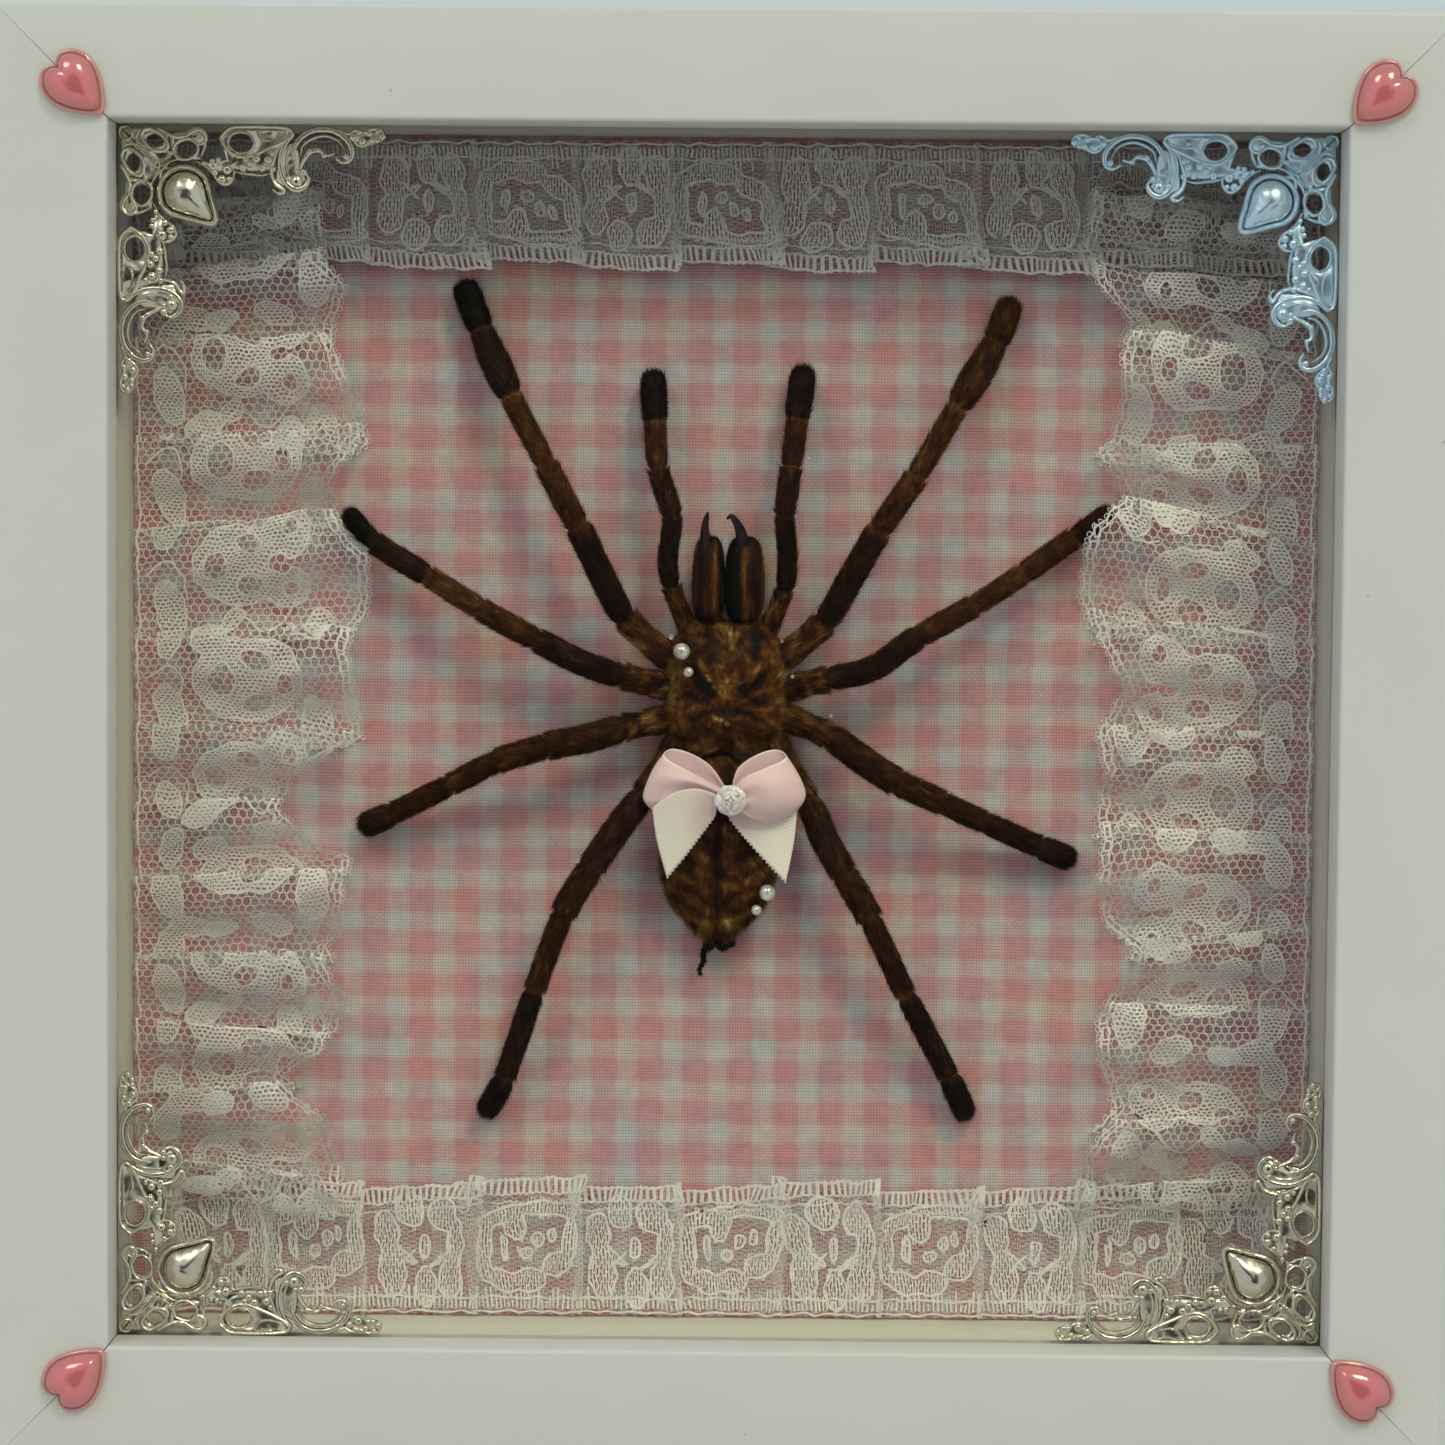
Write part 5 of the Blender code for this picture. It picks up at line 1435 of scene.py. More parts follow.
def specimen_mm(points):
    """Points as (across, up, rise) in mm."""
    return np.stack([points[:, 0], points[:, 2], CLOTH_Y - points[:, 1]], 1) / MM


def moulded_ball(name, segments, rings, shape, turn=0.0):
    """A ball with each point moved to the place that shape gives in mm, and its points in mm."""
    bm = bmesh.new()
    bmesh.ops.create_uvsphere(bm, u_segments=segments, v_segments=rings, radius=1.0)
    if turn:
        bmesh.ops.rotate(bm, verts=bm.verts, matrix=Matrix.Rotation(turn, 3, "X"))
    for vert in bm.verts:
        vert.co = place(*shape(*vert.co))
    mesh = finish_mesh(name, bm)
    return mesh, specimen_mm(mesh_points(mesh))


def above(least):
    """Where hair grows on points that rise more than a height in mm."""
    return lambda spots: (specimen_mm(spots)[:, 2] > least).astype(float)


SHIELD = (0.5, 133.7)  # middle of the carapace, (across, up) in mm
FOVEA = (0.6, 129.6)  # the pit behind its head
# Marks on the carapace as strokes: from (across, up) to (across, up) in mm, half width, change of tone.
CARAPACE_MARKS = [
    ((-5.6, 136.6), (-2.4, 132.6), 0.75, -0.62), ((6.6, 135.6), (3.6, 132.4), 0.7, -0.5),
    ((-4.3, 138.4), (-1.7, 133.2), 0.32, 0.42), ((6.3, 137.6), (3.2, 131.4), 0.3, 0.36),
    ((-0.6, 137.4), (0.6, 134.6), 0.25, 0.2), ((-0.4, 132.9), (0.0, 131.6), 1.1, 0.24),
    ((1.0, 143.0), (1.3, 140.4), 0.42, 0.42), ((2.2, 142.8), (1.7, 140.2), 0.36, 0.36),
    ((2.1, 145.2), (1.8, 143.8), 0.9, -0.3), ((-2.6, 143.6), (-2.4, 139.0), 1.0, -0.26),
    ((5.6, 143.4), (5.4, 139.4), 0.9, -0.3), ((-1.8, 128.2), (0.8, 127.2), 0.35, 0.55),
    ((0.8, 127.2), (3.6, 128.0), 0.35, 0.5), ((-1.2, 130.0), (2.4, 129.6), 0.8, -0.1),
    ((0.6, 125.8), (0.6, 122.6), 2.4, -0.12), ((-6.6, 132.2), (-3.0, 131.0), 0.5, -0.34),
    ((7.8, 131.0), (4.2, 130.4), 0.5, -0.24), ((-5.6, 127.8), (-3.0, 129.2), 0.45, -0.22),
    ((7.0, 127.4), (4.4, 128.8), 0.45, -0.2), ((-6.2, 130.0), (-2.6, 130.4), 0.3, 0.22),
    ((8.0, 133.6), (4.4, 131.6), 0.3, 0.2), ((-7.4, 140.4), (-5.6, 139.6), 1.3, -0.2)
]

# Spinnerets as place in mm, half width, half height and lean in degrees, and the thread that hangs there.
SPINNERETS = (((-2.2, 87.7, 4.4), 1.1, 1.5, 18), ((0.2, 87.6, 4.7), 1.3, 1.3, -8),
              ((1.5, 88.1, 4.4), 0.9, 1.1, -35), ((-0.9, 88.4, 4.9), 1.2, 1.1, 0))
THREAD = ((-2.4, 87.4, 4.2), (-3.2, 86.0, 3.9), (-3.2, 84.4, 3.6), (-3.9, 83.0, 3.3), (-3.7, 81.8, 3.1))
# Each jaw's place across and half width in mm, its outer side, its stripes (place, width, change of
# tone) from the middle outwards, and the route of its fang with the fang's half width.
JAWS = {
    "left": (-2.8, 2.8, -1, ((-1.1, 0.7, 0.44), (0.6, 0.3, 0.2), (2.3, 0.3, 0.3)),
             ((-3.3, 158.4, 9.0, 1.0), (-3.5, 160.4, 9.8, 0.85), (-3.5, 162.0, 10.4, 0.64),
              (-3.2, 163.4, 10.9, 0.45),
              (-3.0, 164.2, 11.1, 0.16))),
    "right": (3.5, 3.4, 1, ((0.2, 0.8, 0.52), (0.9, 0.25, -0.2), (1.8, 0.3, 0.2), (3.0, 0.3, 0.34)),
              ((3.1, 158.4, 9.0, 1.2), (2.8, 160.6, 10.0, 1.0), (2.1, 162.3, 10.6, 0.72),
               (1.1, 163.5, 11.0, 0.5),
               (0.3, 163.0, 11.2, 0.14))),
}


def make_carapace(hide):
    """The shield: a raised head, a pit behind it and grooves that run out between the legs."""
    def shape(x, y, z):
        front = max(0.0, z)
        side = 1 - 0.30 * front ** 2
        corner = 1 + 0.24 * abs(2 * x * z) ** 1.3
        raised = 1 + 0.16 * front if y < 0 else 0.9
        across, up = SHIELD[0] + x * side * corner * 10.2, SHIELD[1] + z * corner * 11.3
        rise = 6.4 - y * raised * 4.3
        if y < 0:
            dx, dz = across - FOVEA[0], up - FOVEA[1]
            r = math.hypot(dx, dz)
            angle = abs(math.atan2(dx, dz))
            rise -= 0.8 * math.exp(-(r / 1.3) ** 2)
            for at, wide, deep in ((0.62, 0.12, 0.75), (1.25, 0.10, 0.4), (1.85, 0.1, 0.35),
                                   (2.45, 0.12, 0.35)):
                rise -= (deep * math.exp(-((angle - at) / wide) ** 2)
                         * min(1.0, r / 2.5) * max(0.0, 1 - r / 9.5))
            rise += 0.7 * math.exp(-((dx / 2.6) ** 2 + ((up - 144.2) / 1.2) ** 2))
            rise += 0.25 * math.exp(-((dx - 0.3) / 0.5) ** 2) * (1 if up > 136 else 0)
            rise += 0.5 * noise.noise(Vector((across * 0.6, up * 0.6, 4.0)))
        return across, up, rise

    mesh, where = moulded_ball("carapace", 72, 40, shape, math.pi / 2)
    dx, dz = where[:, 0] - FOVEA[0], where[:, 1] - FOVEA[1]
    r, angle = np.hypot(dx, dz), np.abs(np.arctan2(dx, dz))
    tone = 0.51 + 0.17 * fractal(where, 0.5, 2.0) + 0.2 * fractal(where, 1.5, 9.0)
    for start, end, half, change in CARAPACE_MARKS:
        start, run = np.array(start), np.array(end) - start
        part = np.clip(((where[:, :2] - start) @ run) / (run @ run), 0, 1)
        off = np.linalg.norm(where[:, :2] - start - part[:, None] * run, axis=1)
        tone += (0.8 if change > 0 else 1.1) * change * np.exp(-(off / half) ** 2)
    edge = np.maximum(np.abs(where[:, 0] - SHIELD[0]) / 10.2, np.abs(where[:, 1] - SHIELD[1]) / 11.8)
    tone += 0.22 * np.clip((edge - 0.72) / 0.2, 0, 1) * np.clip((146 - where[:, 1]) / 3, 0.2, 1)

    def outwards(roots):
        spots = specimen_mm(roots)
        du, dv = spots[:, 0] - FOVEA[0], spots[:, 1] - FOVEA[1]
        return np.stack([du, np.zeros(len(du)), dv * np.where(dv > 0, 0.2, 1.0) + 0.8 * (dv > 0)], 1) + 1e-6

    def rim(spots):
        at = specimen_mm(spots)
        return ((np.abs(at[:, :2] - SHIELD).max(1) > 8.2) & (at[:, 2] > 3.2)).astype(float)

    body_piece("hairy_carapace", "cephalothorax", mesh, tone,
               np.stack([angle * 3.2, r * 0.35, where[:, 2] * 0.5], 1),
               hide, np.random.default_rng(7), [
                   (16000, 0.09, 0.6, 0.22, outwards, above(3.0)), (7000, 0.09, 1.2, 0.5, outwards, rim)])


def make_abdomen(hide):
    """The dried abdomen: a wrinkled egg with a dark midline and dark bands, and the spinnerets below."""
    def shape(x, y, z):
        width = float(np.interp(z, (-1, -0.95, -0.8, -0.6, -0.3, 0, 0.35, 1),
                                (0.9, 0.9, 0.92, 1.08, 1.08, 1, 1, 0.78)))
        across, up = -0.7 + x * width * 9.5, 105.3 + z * 16.8
        rise = 5.6 - y * (1 - 0.25 * max(0.0, z - 0.35)) * 4.2
        if y < 0:
            rise -= 0.35 * math.exp(-((across + 0.9) / 0.7) ** 2) * (up < 112)
            rise += 0.35 * noise.noise(Vector((across * 0.35, up * 0.5, 1.0)))
        return across, up, rise

    mesh, where = moulded_ball("abdomen", 56, 56, shape)
    across, up = where[:, 0] + 0.9, where[:, 1]
    tone = 0.52 + 0.2 * fractal(where, 0.4, 5.0) + 0.15 * fractal(where, 1.4, 6.0)
    bands = np.sin((up - 0.55 * np.abs(across) + 0.8 * fractal(where, 0.3, 8.0)) * 2 * np.pi / 2.9)
    tone += 0.12 * bands * np.clip(np.abs(across) / 2.0, 0.2, 1)
    tone -= 0.3 * np.exp(-(across / 0.75) ** 2) * (up < 113)
    tone += 0.12 * np.clip((np.abs(across) - 6.0) / 3.0, 0, 1)
    tone += 0.2 * np.exp(-((up - 91.0) / 2.2) ** 2) - 0.2 * np.clip((88.8 - up) / 1.2, 0, 1)

    def downwards(roots):
        spots = specimen_mm(roots)
        return np.stack([(spots[:, 0] + 0.7) * 0.07, np.zeros(len(spots)), np.full(len(spots), -1.0)], 1)

    def fringe(spots):
        at = specimen_mm(spots)
        return ((np.abs(at[:, 2] - 5.4) < 1.6) & (at[:, 1] < 112) | (at[:, 1] < 91.5)).astype(float)

    random = np.random.default_rng(11)
    body_piece("hairy_abdomen", "abdomen", mesh, tone,
               np.stack([across * 1.3, where[:, 2] * 1.3, up * 0.3], 1), hide, random,
               [(19000, 0.10, 1.1, 0.18, downwards, above(2.5)),
                (6000, 0.09, 1.9, 0.5, downwards, fringe)])

    bm = bmesh.new()
    for spot, half_across, half_up, lean in SPINNERETS:
        ball(bm, place(*spot), (half_across * MM, 1.1 * MM, half_up * MM), 16, 12,
             Matrix.Rotation(math.radians(lean), 4, "Y"))
    thread = smooth_path(THREAD, 5)
    spike(bm, thread,
          [0.62 - 0.34 * k / len(thread) + 0.1 * math.sin(k * 2.1) for k in range(len(thread))], 9)
    mesh = finish_mesh("spinnerets", bm)
    where = specimen_mm(mesh_points(mesh))
    body_piece("spinnerets", None, mesh, 0.10 + 0.15 * fractal(where, 1.2, 3.0), where * 0.8, hide, random,
               [(900, 0.09, 0.8, 0.3, downwards, None)])


def make_jaws(hide):
    """Two chelicerae, striped lengthwise in gold and black, each with a bare curved fang."""
    chitin = fang_material()
    for side, (across, half, sign, stripes, route) in JAWS.items():
        def shape(x, y, z):
            blunt = (abs(x) ** 3.4 + abs(y) ** 3.4 + abs(z) ** 3.4) ** (-1 / 3.4)
            taper = 1 - 0.1 * max(0.0, z)
            return across + x * blunt * taper * half, 152.4 + z * blunt * 7.5, 7.4 - y * blunt * taper * 3.3

        mesh, where = moulded_ball("jaw", 32, 28, shape)
        offset = (where[:, 0] - across) * sign
        tone = 0.2 + 0.2 * fractal(where * (1, 0.3, 1), 0.7, 1.0 + sign)
        fade = np.clip((160 - where[:, 1]) / 3, 0, 1)
        for at, wide, light in stripes:
            tone += light * np.exp(-((offset - at) / wide) ** 2) * fade
        # Painted shade: the right jaw turns black towards the gap between the jaws.
        tone -= 0.6 * np.clip((-1.0 - offset) / 0.3, 0, 1) * (side == "right")

        def forwards(roots):
            return np.tile((0.0, -0.05, 1.0), (len(roots), 1))

        body_piece("hairy_chelicera_" + side, "chelicera_" + side, mesh, tone,
                   np.stack([where[:, 0] * 1.6, where[:, 2] * 1.6, where[:, 1] * 0.25], 1), hide,
                   np.random.default_rng(21 + sign),
                   [(4200, 0.08, 1.1, 0.12, forwards, None), (320, 0.06, 2.2, 0.35, forwards, None)])
        spine = smooth_path([p[:3] for p in route], 6)
        thick = np.interp(np.linspace(0, 1, len(spine)), np.linspace(0, 1, len(route)), [p[3] for p in route])
        bm = bmesh.new()
        spike(bm, spine, thick, 16)
        add_piece("fang_" + side, finish_mesh("fang", bm), chitin)


# ---------------------------------------------------------------- bow and pearls

# Ribbon loops as rows of (across, up, rise): from the upper edge to the lower, each row from the knot behind,
# out round the fold, and back to the knot in front.
LOOP_LEFT = [
    [(0.8, 115.2, 11.6), (-1.9, 119.5, 11.2), (-5.5, 121.8, 11.0), (-9.0, 122.7, 11.2), (-10.3, 121.4, 12.4),
        (-6.6, 119.2, 13.4), (-3.4, 117.6, 13.6), (0.4, 115.3, 13.4)],
    [(0.8, 114.8, 11.5), (-2.0, 118.0, 11.0), (-6.0, 119.5, 10.6), (-10.9, 120.2, 11.2), (-12.3, 118.4, 12.8),
        (-8.5, 117.5, 14.6), (-4.3, 116.9, 14.7), (0.3, 114.9, 13.6)],
    [(0.8, 114.4, 11.5), (-2.0, 116.0, 11.0), (-7.0, 116.5, 10.6), (-12.4, 116.0, 11.2), (-13.8, 114.6, 12.6),
        (-9.0, 115.2, 13.8), (-4.7, 115.9, 13.5), (0.2, 114.3, 13.3)],
    [(0.8, 114.0, 11.5), (-2.0, 114.6, 11.0), (-7.0, 114.0, 10.6), (-12.2, 113.4, 11.2), (-13.3, 113.1, 12.5),
        (-8.6, 113.9, 13.7), (-4.4, 114.4, 13.9), (0.2, 113.8, 13.4)],
    [(0.8, 113.6, 11.5), (-2.0, 113.0, 11.0), (-7.0, 112.0, 10.6), (-11.6, 112.0, 11.2), (-12.4, 112.3, 12.2),
        (-8.0, 112.4, 13.0), (-4.0, 112.0, 13.2), (0.2, 113.2, 13.3)],
]
LOOP_RIGHT = [
    [(1.6, 115.6, 11.6), (2.6, 119.4, 11.2), (6.2, 121.9, 11.0), (9.5, 122.7, 11.2), (11.0, 121.3, 12.4),
        (7.0, 119.4, 13.6), (3.6, 117.8, 13.8), (1.9, 115.6, 13.4)],
    [(1.6, 115.0, 11.5), (3.0, 118.0, 11.0), (7.0, 119.5, 10.6), (11.7, 119.6, 11.2), (13.2, 117.8, 12.8),
        (8.2, 117.0, 14.8), (4.4, 116.4, 14.6), (2.0, 115.0, 13.6)],
    [(1.6, 114.4, 11.5), (3.0, 116.0, 11.0), (7.0, 116.5, 10.6), (12.8, 116.0, 11.2), (14.4, 114.6, 12.6),
        (9.0, 114.4, 15.0), (5.0, 114.6, 14.6), (2.2, 114.3, 13.7)],
    [(1.6, 113.8, 11.5), (3.0, 114.0, 11.0), (7.0, 113.5, 10.6), (12.0, 113.0, 11.2), (13.3, 112.5, 12.4),
        (8.8, 112.0, 14.2), (5.0, 112.9, 14.2), (2.3, 113.6, 13.6)],
    [(1.6, 113.4, 11.5), (3.0, 112.0, 11.0), (7.0, 111.0, 10.6), (10.8, 110.9, 11.2), (11.5, 110.8, 12.2),
        (8.0, 110.0, 13.0), (4.6, 111.0, 13.2), (2.2, 112.9, 13.3)],
]
TAIL_LEFT = [
    [(-0.6, 114.6, 13.7), (-4.4, 116.0, 14.6), (-8.8, 115.0, 14.4), (-12.3, 112.5, 13.3)],
    [(-0.9, 113.0, 13.5), (-4.0, 112.4, 13.8), (-7.8, 110.4, 13.3), (-11.6, 107.0, 12.4)],
    [(-1.2, 111.2, 12.9), (-3.4, 108.2, 12.3), (-6.0, 104.6, 11.8), (-9.7, 99.9, 11.3)],
]
TAIL_RIGHT = [
    [(2.6, 114.0, 11.0), (6.0, 114.0, 11.3), (9.8, 113.6, 11.2), (13.1, 112.8, 10.8)],
    [(1.8, 112.4, 11.0), (5.2, 110.4, 11.4), (8.8, 108.4, 11.4), (12.6, 106.4, 11.0)],
    [(0.9, 110.9, 11.0), (3.6, 107.6, 11.2), (6.8, 104.0, 11.2), (11.2, 99.3, 11.1)],
]
RIBBON_WIDTH = 0.0101
PEARLS = {
    "pearl_carapace_large": (-7.4, 139.8, 12.2, 1.5),
    "pearl_carapace_small": (-6.2, 136.2, 12.0, 0.9),
    "pearl_abdomen_large": (8.0, 97.4, 10.4, 1.45),
    "pearl_abdomen_small": (6.1, 94.2, 9.6, 0.95),
}
GLUE_BEADS = [
    (-9.3, 142.3, 9.2, 0.45), (10.2, 141.7, 9.4, 0.3), (12.1, 135.5, 9.2, 0.35), (18.9, 128.8, 10.8, 0.35),
    (14.6, 173.8, 9.9, 0.4), (32.2, 116.6, 11.6, 0.4)
]


def ribbon_patch(name, rows, satin, stands_for, length, ends):
    """A stretch of ribbon: a grid bent to its rows of places, pleated at the knot, and thickened.

    The knot is at the ends 0 or 1 of the run."""
    drawn = [smooth_path(row, 4) for row in rows]
    fine = [smooth_path(column, 4) for column in zip(*drawn)]
    long, wide = len(fine), len(fine[0])
    bm = bmesh.new()
    bmesh.ops.create_grid(bm, x_segments=long - 1, y_segments=wide - 1, size=0.5)
    layer = bm.loops.layers.uv.new("ribbon")
    for loop in (loop for face in bm.faces for loop in face.loops):
        loop[layer].uv = ((loop.vert.co.x + 0.5) * length / MM, (loop.vert.co.y + 0.5) * RIBBON_WIDTH / MM)
    for vert in bm.verts:
        x, y = vert.co.x + 0.5, vert.co.y + 0.5
        spot = fine[round(x * (long - 1))][wide - 1 - round(y * (wide - 1))].copy()
        near = min(abs(x - end) for end in ends)
        pleat = math.sin(y * 15.0 + 1.0 + 2 * x) * math.exp(-(near / 0.13) ** 1.5) * min(1.0, near / 0.05)
        spot.z += 0.34 * pleat + 0.12 * math.sin(7 * y + 9 * x) * min(1.0, near / 0.1)
        vert.co = place(*spot)
    ribbon = add_piece(name, finish_mesh(name, bm, outwards=False), satin, stands_for)
    rounder = ribbon.modifiers.new("smooth", "SUBSURF")
    rounder.levels = rounder.render_levels = 1
    rounder.boundary_smooth = "PRESERVE_CORNERS"
    skin = ribbon.modifiers.new("thickness", "SOLIDIFY")
    skin.thickness = 0.14 * MM
    skin.offset = 0


def make_bow(settings):
    """A ready-made bow of 10 mm satin ribbon: two loops, two tails and a rose that hides the knot."""
    pink = tuple(settings.satin)
    face = satin_material("pink_satin_face", pink, pink, 0.28, 0.05)
    back = satin_material("cream_satin_back", pink, linear("#fcf3e6"), 0.42, 0.2)
    ribbon_patch("bow_loop_left", LOOP_LEFT, face, ["bow_loops"], 0.0268, (0, 1))
    ribbon_patch("bow_loop_right", LOOP_RIGHT, face, (), 0.0272, (0, 1))
    ribbon_patch("bow_tail_left", TAIL_LEFT, back, ["bow_tails"], 0.014, (0,))
    ribbon_patch("bow_tail_right", TAIL_RIGHT, back, (), 0.0145, (0,))

    knots = bmesh.new()
    for row in (TAIL_LEFT[-1], TAIL_RIGHT[-1]):
        edge = smooth_path(row, 30)
        travelled = 0.0
        for before, spot in zip(edge, edge[1:]):
            travelled += (spot - before).length
            if travelled > 0.72:
                travelled = 0.0
                ball(knots, place(spot.x, spot.y - 0.06, spot.z + 0.05),
                     (0.21 * MM, 0.12 * MM, 0.21 * MM), 8, 6)
    thread = satin_material("cream_picot_thread", linear("#f5ece6"), linear("#f5ece6"), 0.2, 0.2)
    add_piece("bow_picots", finish_mesh("picots", knots), thread)

    bm = bmesh.new()
    centre = place(1.4, 113.9, 14.3)
    ball(bm, centre, (2.7 * MM, 0.5 * MM, 2.7 * MM), 36, 12)
    random = np.random.default_rng(5)
    for count, distance, size, lift, tilt in ((7, 2.15, 1.0, 0.3, 20), (6, 1.5, 0.9, 0.6, 32),
                                              (4, 0.85, 0.75, 0.85, 44)):
        for number in range(count):
            angle = 2 * math.pi * (number + 1.85 * lift + random.uniform(-0.16, 0.16)) / count
            out, wide = distance * random.uniform(0.9, 1.05), size * random.uniform(0.85, 1.15)
            spot = centre + Vector((math.cos(angle) * out, -lift, math.sin(angle) * out)) * MM
            turn = (Matrix.Rotation(-angle, 4, "Y") @ Matrix.Rotation(math.radians(tilt), 4, "Z")
                    @ Matrix.Rotation(random.uniform(-0.3, 0.3), 4, "X"))
            ball(bm, spot, (size * 0.7 * MM, 0.24 * MM, wide * MM), 18, 10, turn)
    ball(bm, centre + Vector((0, -0.85, 0)) * MM, (0.5 * MM, 0.3 * MM, 0.5 * MM), 16, 10)
    add_piece("resin_rose", finish_mesh("rose", bm), rose_material(), ["bow_rose"])


def make_pearls(settings):
    """Half pearls glued to the animal, and the beads of glue that hold its joints."""
    nacre = pearl_material("nacre_on_plastic", tuple(settings.pearl), 0.9)
    for name, (across, up, rise, radius) in PEARLS.items():
        bm = bmesh.new()
        ball(bm, place(across, up, rise), (radius * MM,) * 3, 32, 20)
        add_piece("round_" + name, finish_mesh(name, bm), nacre, [name])
    glue = new_material("dried_clear_glue", {"Base Color": (0.8, 0.76, 0.7, 1), "Roughness": 0.05, "IOR": 1.5,
                                             "Transmission Weight": 0.8, "Coat Weight": 0.5})[0]
    bm = bmesh.new()
    for across, up, rise, radius in GLUE_BEADS:
        ball(bm, place(across, up, rise), (radius * MM, radius * 0.7 * MM, radius * MM), 12, 8)
    add_piece("glue_beads", finish_mesh("glue", bm), glue)


# ---------------------------------------------------------------- stage

def make_stage(settings):
    """A pale floor, a lamp high in front, a wide weak lamp at the left and the camera of the photograph."""
    scene = bpy.context.scene
    bm = bmesh.new()
    bmesh.ops.create_grid(bm, x_segments=4, y_segments=4, size=2.5)
    floor = bpy.data.objects.new("floor", finish_mesh("floor", bm, outwards=False))
    floor.data.materials.append(floor_material(settings))
    scene.collection.objects.link(floor)
    floor.visible_glossy = floor.visible_transmission = False

    world = bpy.data.worlds.new("pale_room")
    scene.world = world
    world.use_nodes = True
    node = functools.partial(add_node, world.node_tree)
    view = node("TexCoord").outputs["Generated"]
    axes = node("SeparateXYZ", view)
    sky = node("ValToRGB", node("MapRange", axes.outputs[2], -1.0, 1.0),
               stops=[(0.0, "#b6bcba"), (0.45, "#b8c0c0"), (0.62, "#bcc7c9"), (1.0, "#b4bfc1")])
    # A black card stands behind the lens, so that the pane doesn't mirror the room.
    card = node("MapRange", axes.outputs[1], -0.955, -0.88, 0.03, 1.0)
    room = node("VectorMath", sky, None, None, card, operation="SCALE")
    node(world.node_tree.nodes["Background"], Strength=1.06, Color=room)

    for name, spot, target, size, power, colour in (
            ("key", (1.58, -2.93, 3.42), (0, 0, 0.12), 1.05, settings.key_power, "#fffad2"),
            ("fill", (-1.88, -3.08, 3.52), (0, 0, 0.12), 1.35, settings.fill_power, "#fcfdee")):
        light = bpy.data.lights.new(name, "AREA")
        light.size = size
        light.energy = power
        light.color = linear(colour)
        lamp = bpy.data.objects.new(name, light)
        lamp.location = spot
        lamp.rotation_euler = (Vector(target) - Vector(spot)).to_track_quat("-Z", "Y").to_euler()
        scene.collection.objects.link(lamp)

    lens = bpy.data.cameras.new("camera")
    lens.lens = 36 * 3500 / 1445
    lens.sensor_width = 36
    camera = bpy.data.objects.new("camera", lens)
    camera.matrix_world = (Matrix.Translation((0.0022, -0.6176, 0.1592))
                           @ Matrix.Rotation(math.radians(0.22), 4, "Z")
                           @ Matrix.Rotation(math.radians(87.03), 4, "X")
                           @ Matrix.Rotation(math.radians(0.49), 4, "Z"))
    scene.collection.objects.link(camera)
    scene.camera = camera
    scene.view_settings.view_transform = "Standard"


# ---------------------------------------------------------------- operators

class SPECIMEN_OT_box(bpy.types.Operator):
    """Models the rails and the pane and finishes the boards, strips and tabs"""

    bl_idname = "specimen.box"
    bl_label = "Box frame"

    def execute(self, context):
        settings = context.scene.specimen_frame
        make_rails(settings)
        finish_boards(settings)
        make_pane()
        return {"FINISHED"}


class SPECIMEN_OT_gingham(bpy.types.Operator):
    """Lays the gingham over its board"""

    bl_idname = "specimen.gingham"
    bl_label = "Gingham"

    def execute(self, context):
        make_gingham(context.scene.specimen_cloth)
        return {"FINISHED"}


class SPECIMEN_OT_lace(bpy.types.Operator):
    """Works the four strips of lace and lays them in folds"""

    bl_idname = "specimen.lace"
    bl_label = "Lace"

    def execute(self, context):
        settings = context.scene.specimen_lace
        material = lace_material(settings)
        make_side_lace(settings, material)
        make_end_lace(material)
        return {"FINISHED"}


class SPECIMEN_OT_trim(bpy.types.Operator):
    """Models the silver corners and the pearly hearts"""

    bl_idname = "specimen.trim"
    bl_label = "Corners and hearts"

    def execute(self, context):
        settings = context.scene.specimen_trim
        make_corners(settings)
        make_hearts(settings)
        return {"FINISHED"}


class SPECIMEN_OT_tarantula(bpy.types.Operator):
    """Models the tarantula: carapace, abdomen, jaws, legs and palps, with their hair"""

    bl_idname = "specimen.tarantula"
    bl_label = "Tarantula"

    def execute(self, context):
        settings = context.scene.specimen_tarantula
        hide = hide_material("dry_tarantula_hide", 0.5)
        make_carapace(hide)
        make_abdomen(hide)
        make_jaws(hide)
        make_limbs(settings, hide)
        return {"FINISHED"}


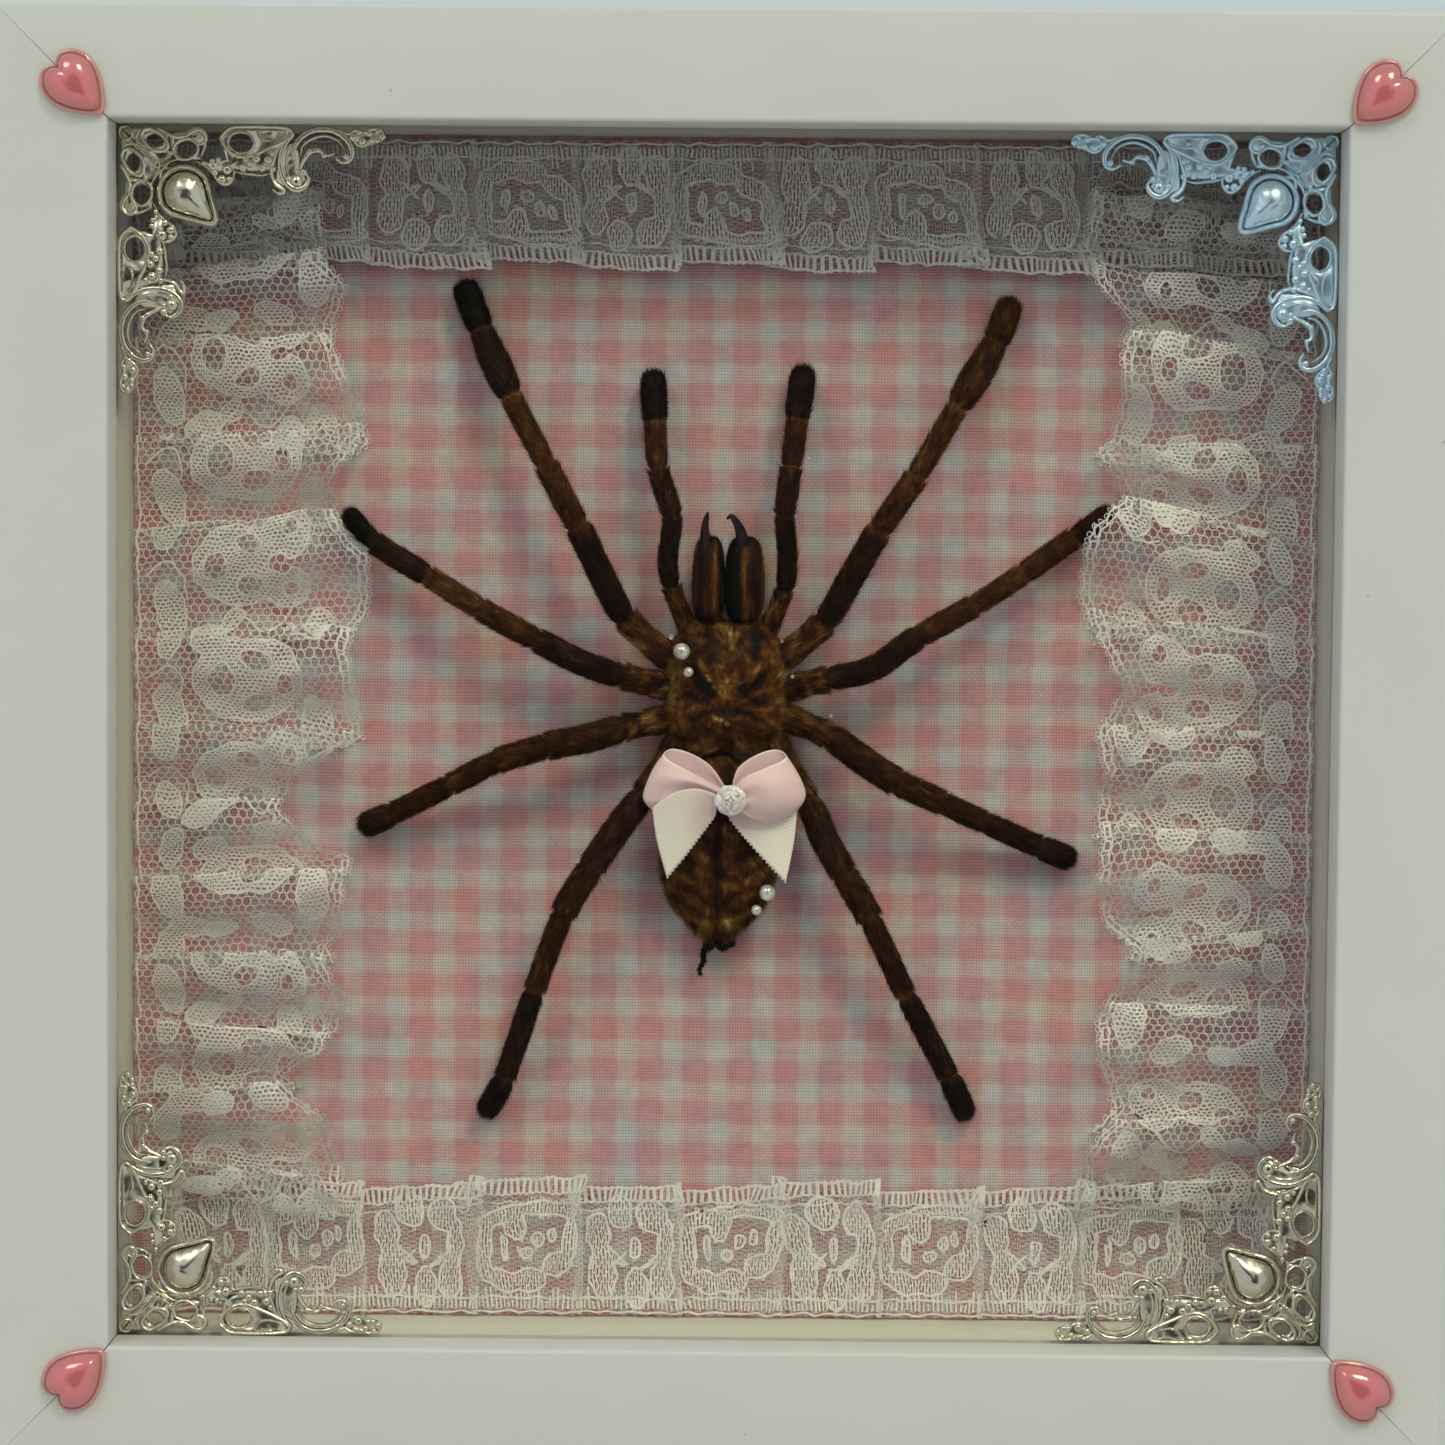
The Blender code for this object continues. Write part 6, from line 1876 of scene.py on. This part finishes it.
class SPECIMEN_OT_bow(bpy.types.Operator):
    """Models the satin bow with its rose, the pearls and the glue beads"""

    bl_idname = "specimen.bow"
    bl_label = "Bow and pearls"

    def execute(self, context):
        settings = context.scene.specimen_trim
        make_bow(settings)
        make_pearls(settings)
        return {"FINISHED"}


class SPECIMEN_OT_stage(bpy.types.Operator):
    """Sets the floor, the lamps and the camera"""

    bl_idname = "specimen.stage"
    bl_label = "Stage"

    def execute(self, context):
        make_stage(context.scene.specimen_stage)
        return {"FINISHED"}


OPERATORS = (SPECIMEN_OT_box, SPECIMEN_OT_gingham, SPECIMEN_OT_lace, SPECIMEN_OT_trim, SPECIMEN_OT_tarantula,
             SPECIMEN_OT_bow, SPECIMEN_OT_stage)
GROUPS = {
    "specimen_frame": FrameSettings, "specimen_cloth": ClothSettings, "specimen_lace": LaceSettings,
    "specimen_tarantula": TarantulaSettings, "specimen_trim": TrimSettings, "specimen_stage": StageSettings,
}


class SPECIMEN_PT_pieces(bpy.types.Panel):
    """Lists the pieces and their settings"""

    bl_label = "Framed tarantula"
    bl_space_type = "VIEW_3D"
    bl_region_type = "UI"
    bl_category = "Specimen"

    def draw(self, context):
        for name, group in GROUPS.items():
            column = self.layout.column()
            for field in group.__annotations__:
                column.prop(getattr(context.scene, name), field)
        for operator in OPERATORS:
            self.layout.operator(operator.bl_idname)


def register():
    for group in GROUPS.values():
        bpy.utils.register_class(group)
    for name, group in GROUPS.items():
        setattr(bpy.types.Scene, name, bpy.props.PointerProperty(type=group))
    for operator in OPERATORS:
        bpy.utils.register_class(operator)
    bpy.utils.register_class(SPECIMEN_PT_pieces)


def unregister():
    bpy.utils.unregister_class(SPECIMEN_PT_pieces)
    for operator in OPERATORS:
        bpy.utils.unregister_class(operator)
    for name, group in GROUPS.items():
        delattr(bpy.types.Scene, name)
        bpy.utils.unregister_class(group)


def main():
    register()
    bpy.ops.specimen.box()
    bpy.ops.specimen.gingham()
    bpy.ops.specimen.lace()
    bpy.ops.specimen.trim()
    bpy.ops.specimen.tarantula()
    bpy.ops.specimen.bow()
    bpy.ops.specimen.stage()


if __name__ == "__main__":
    main()
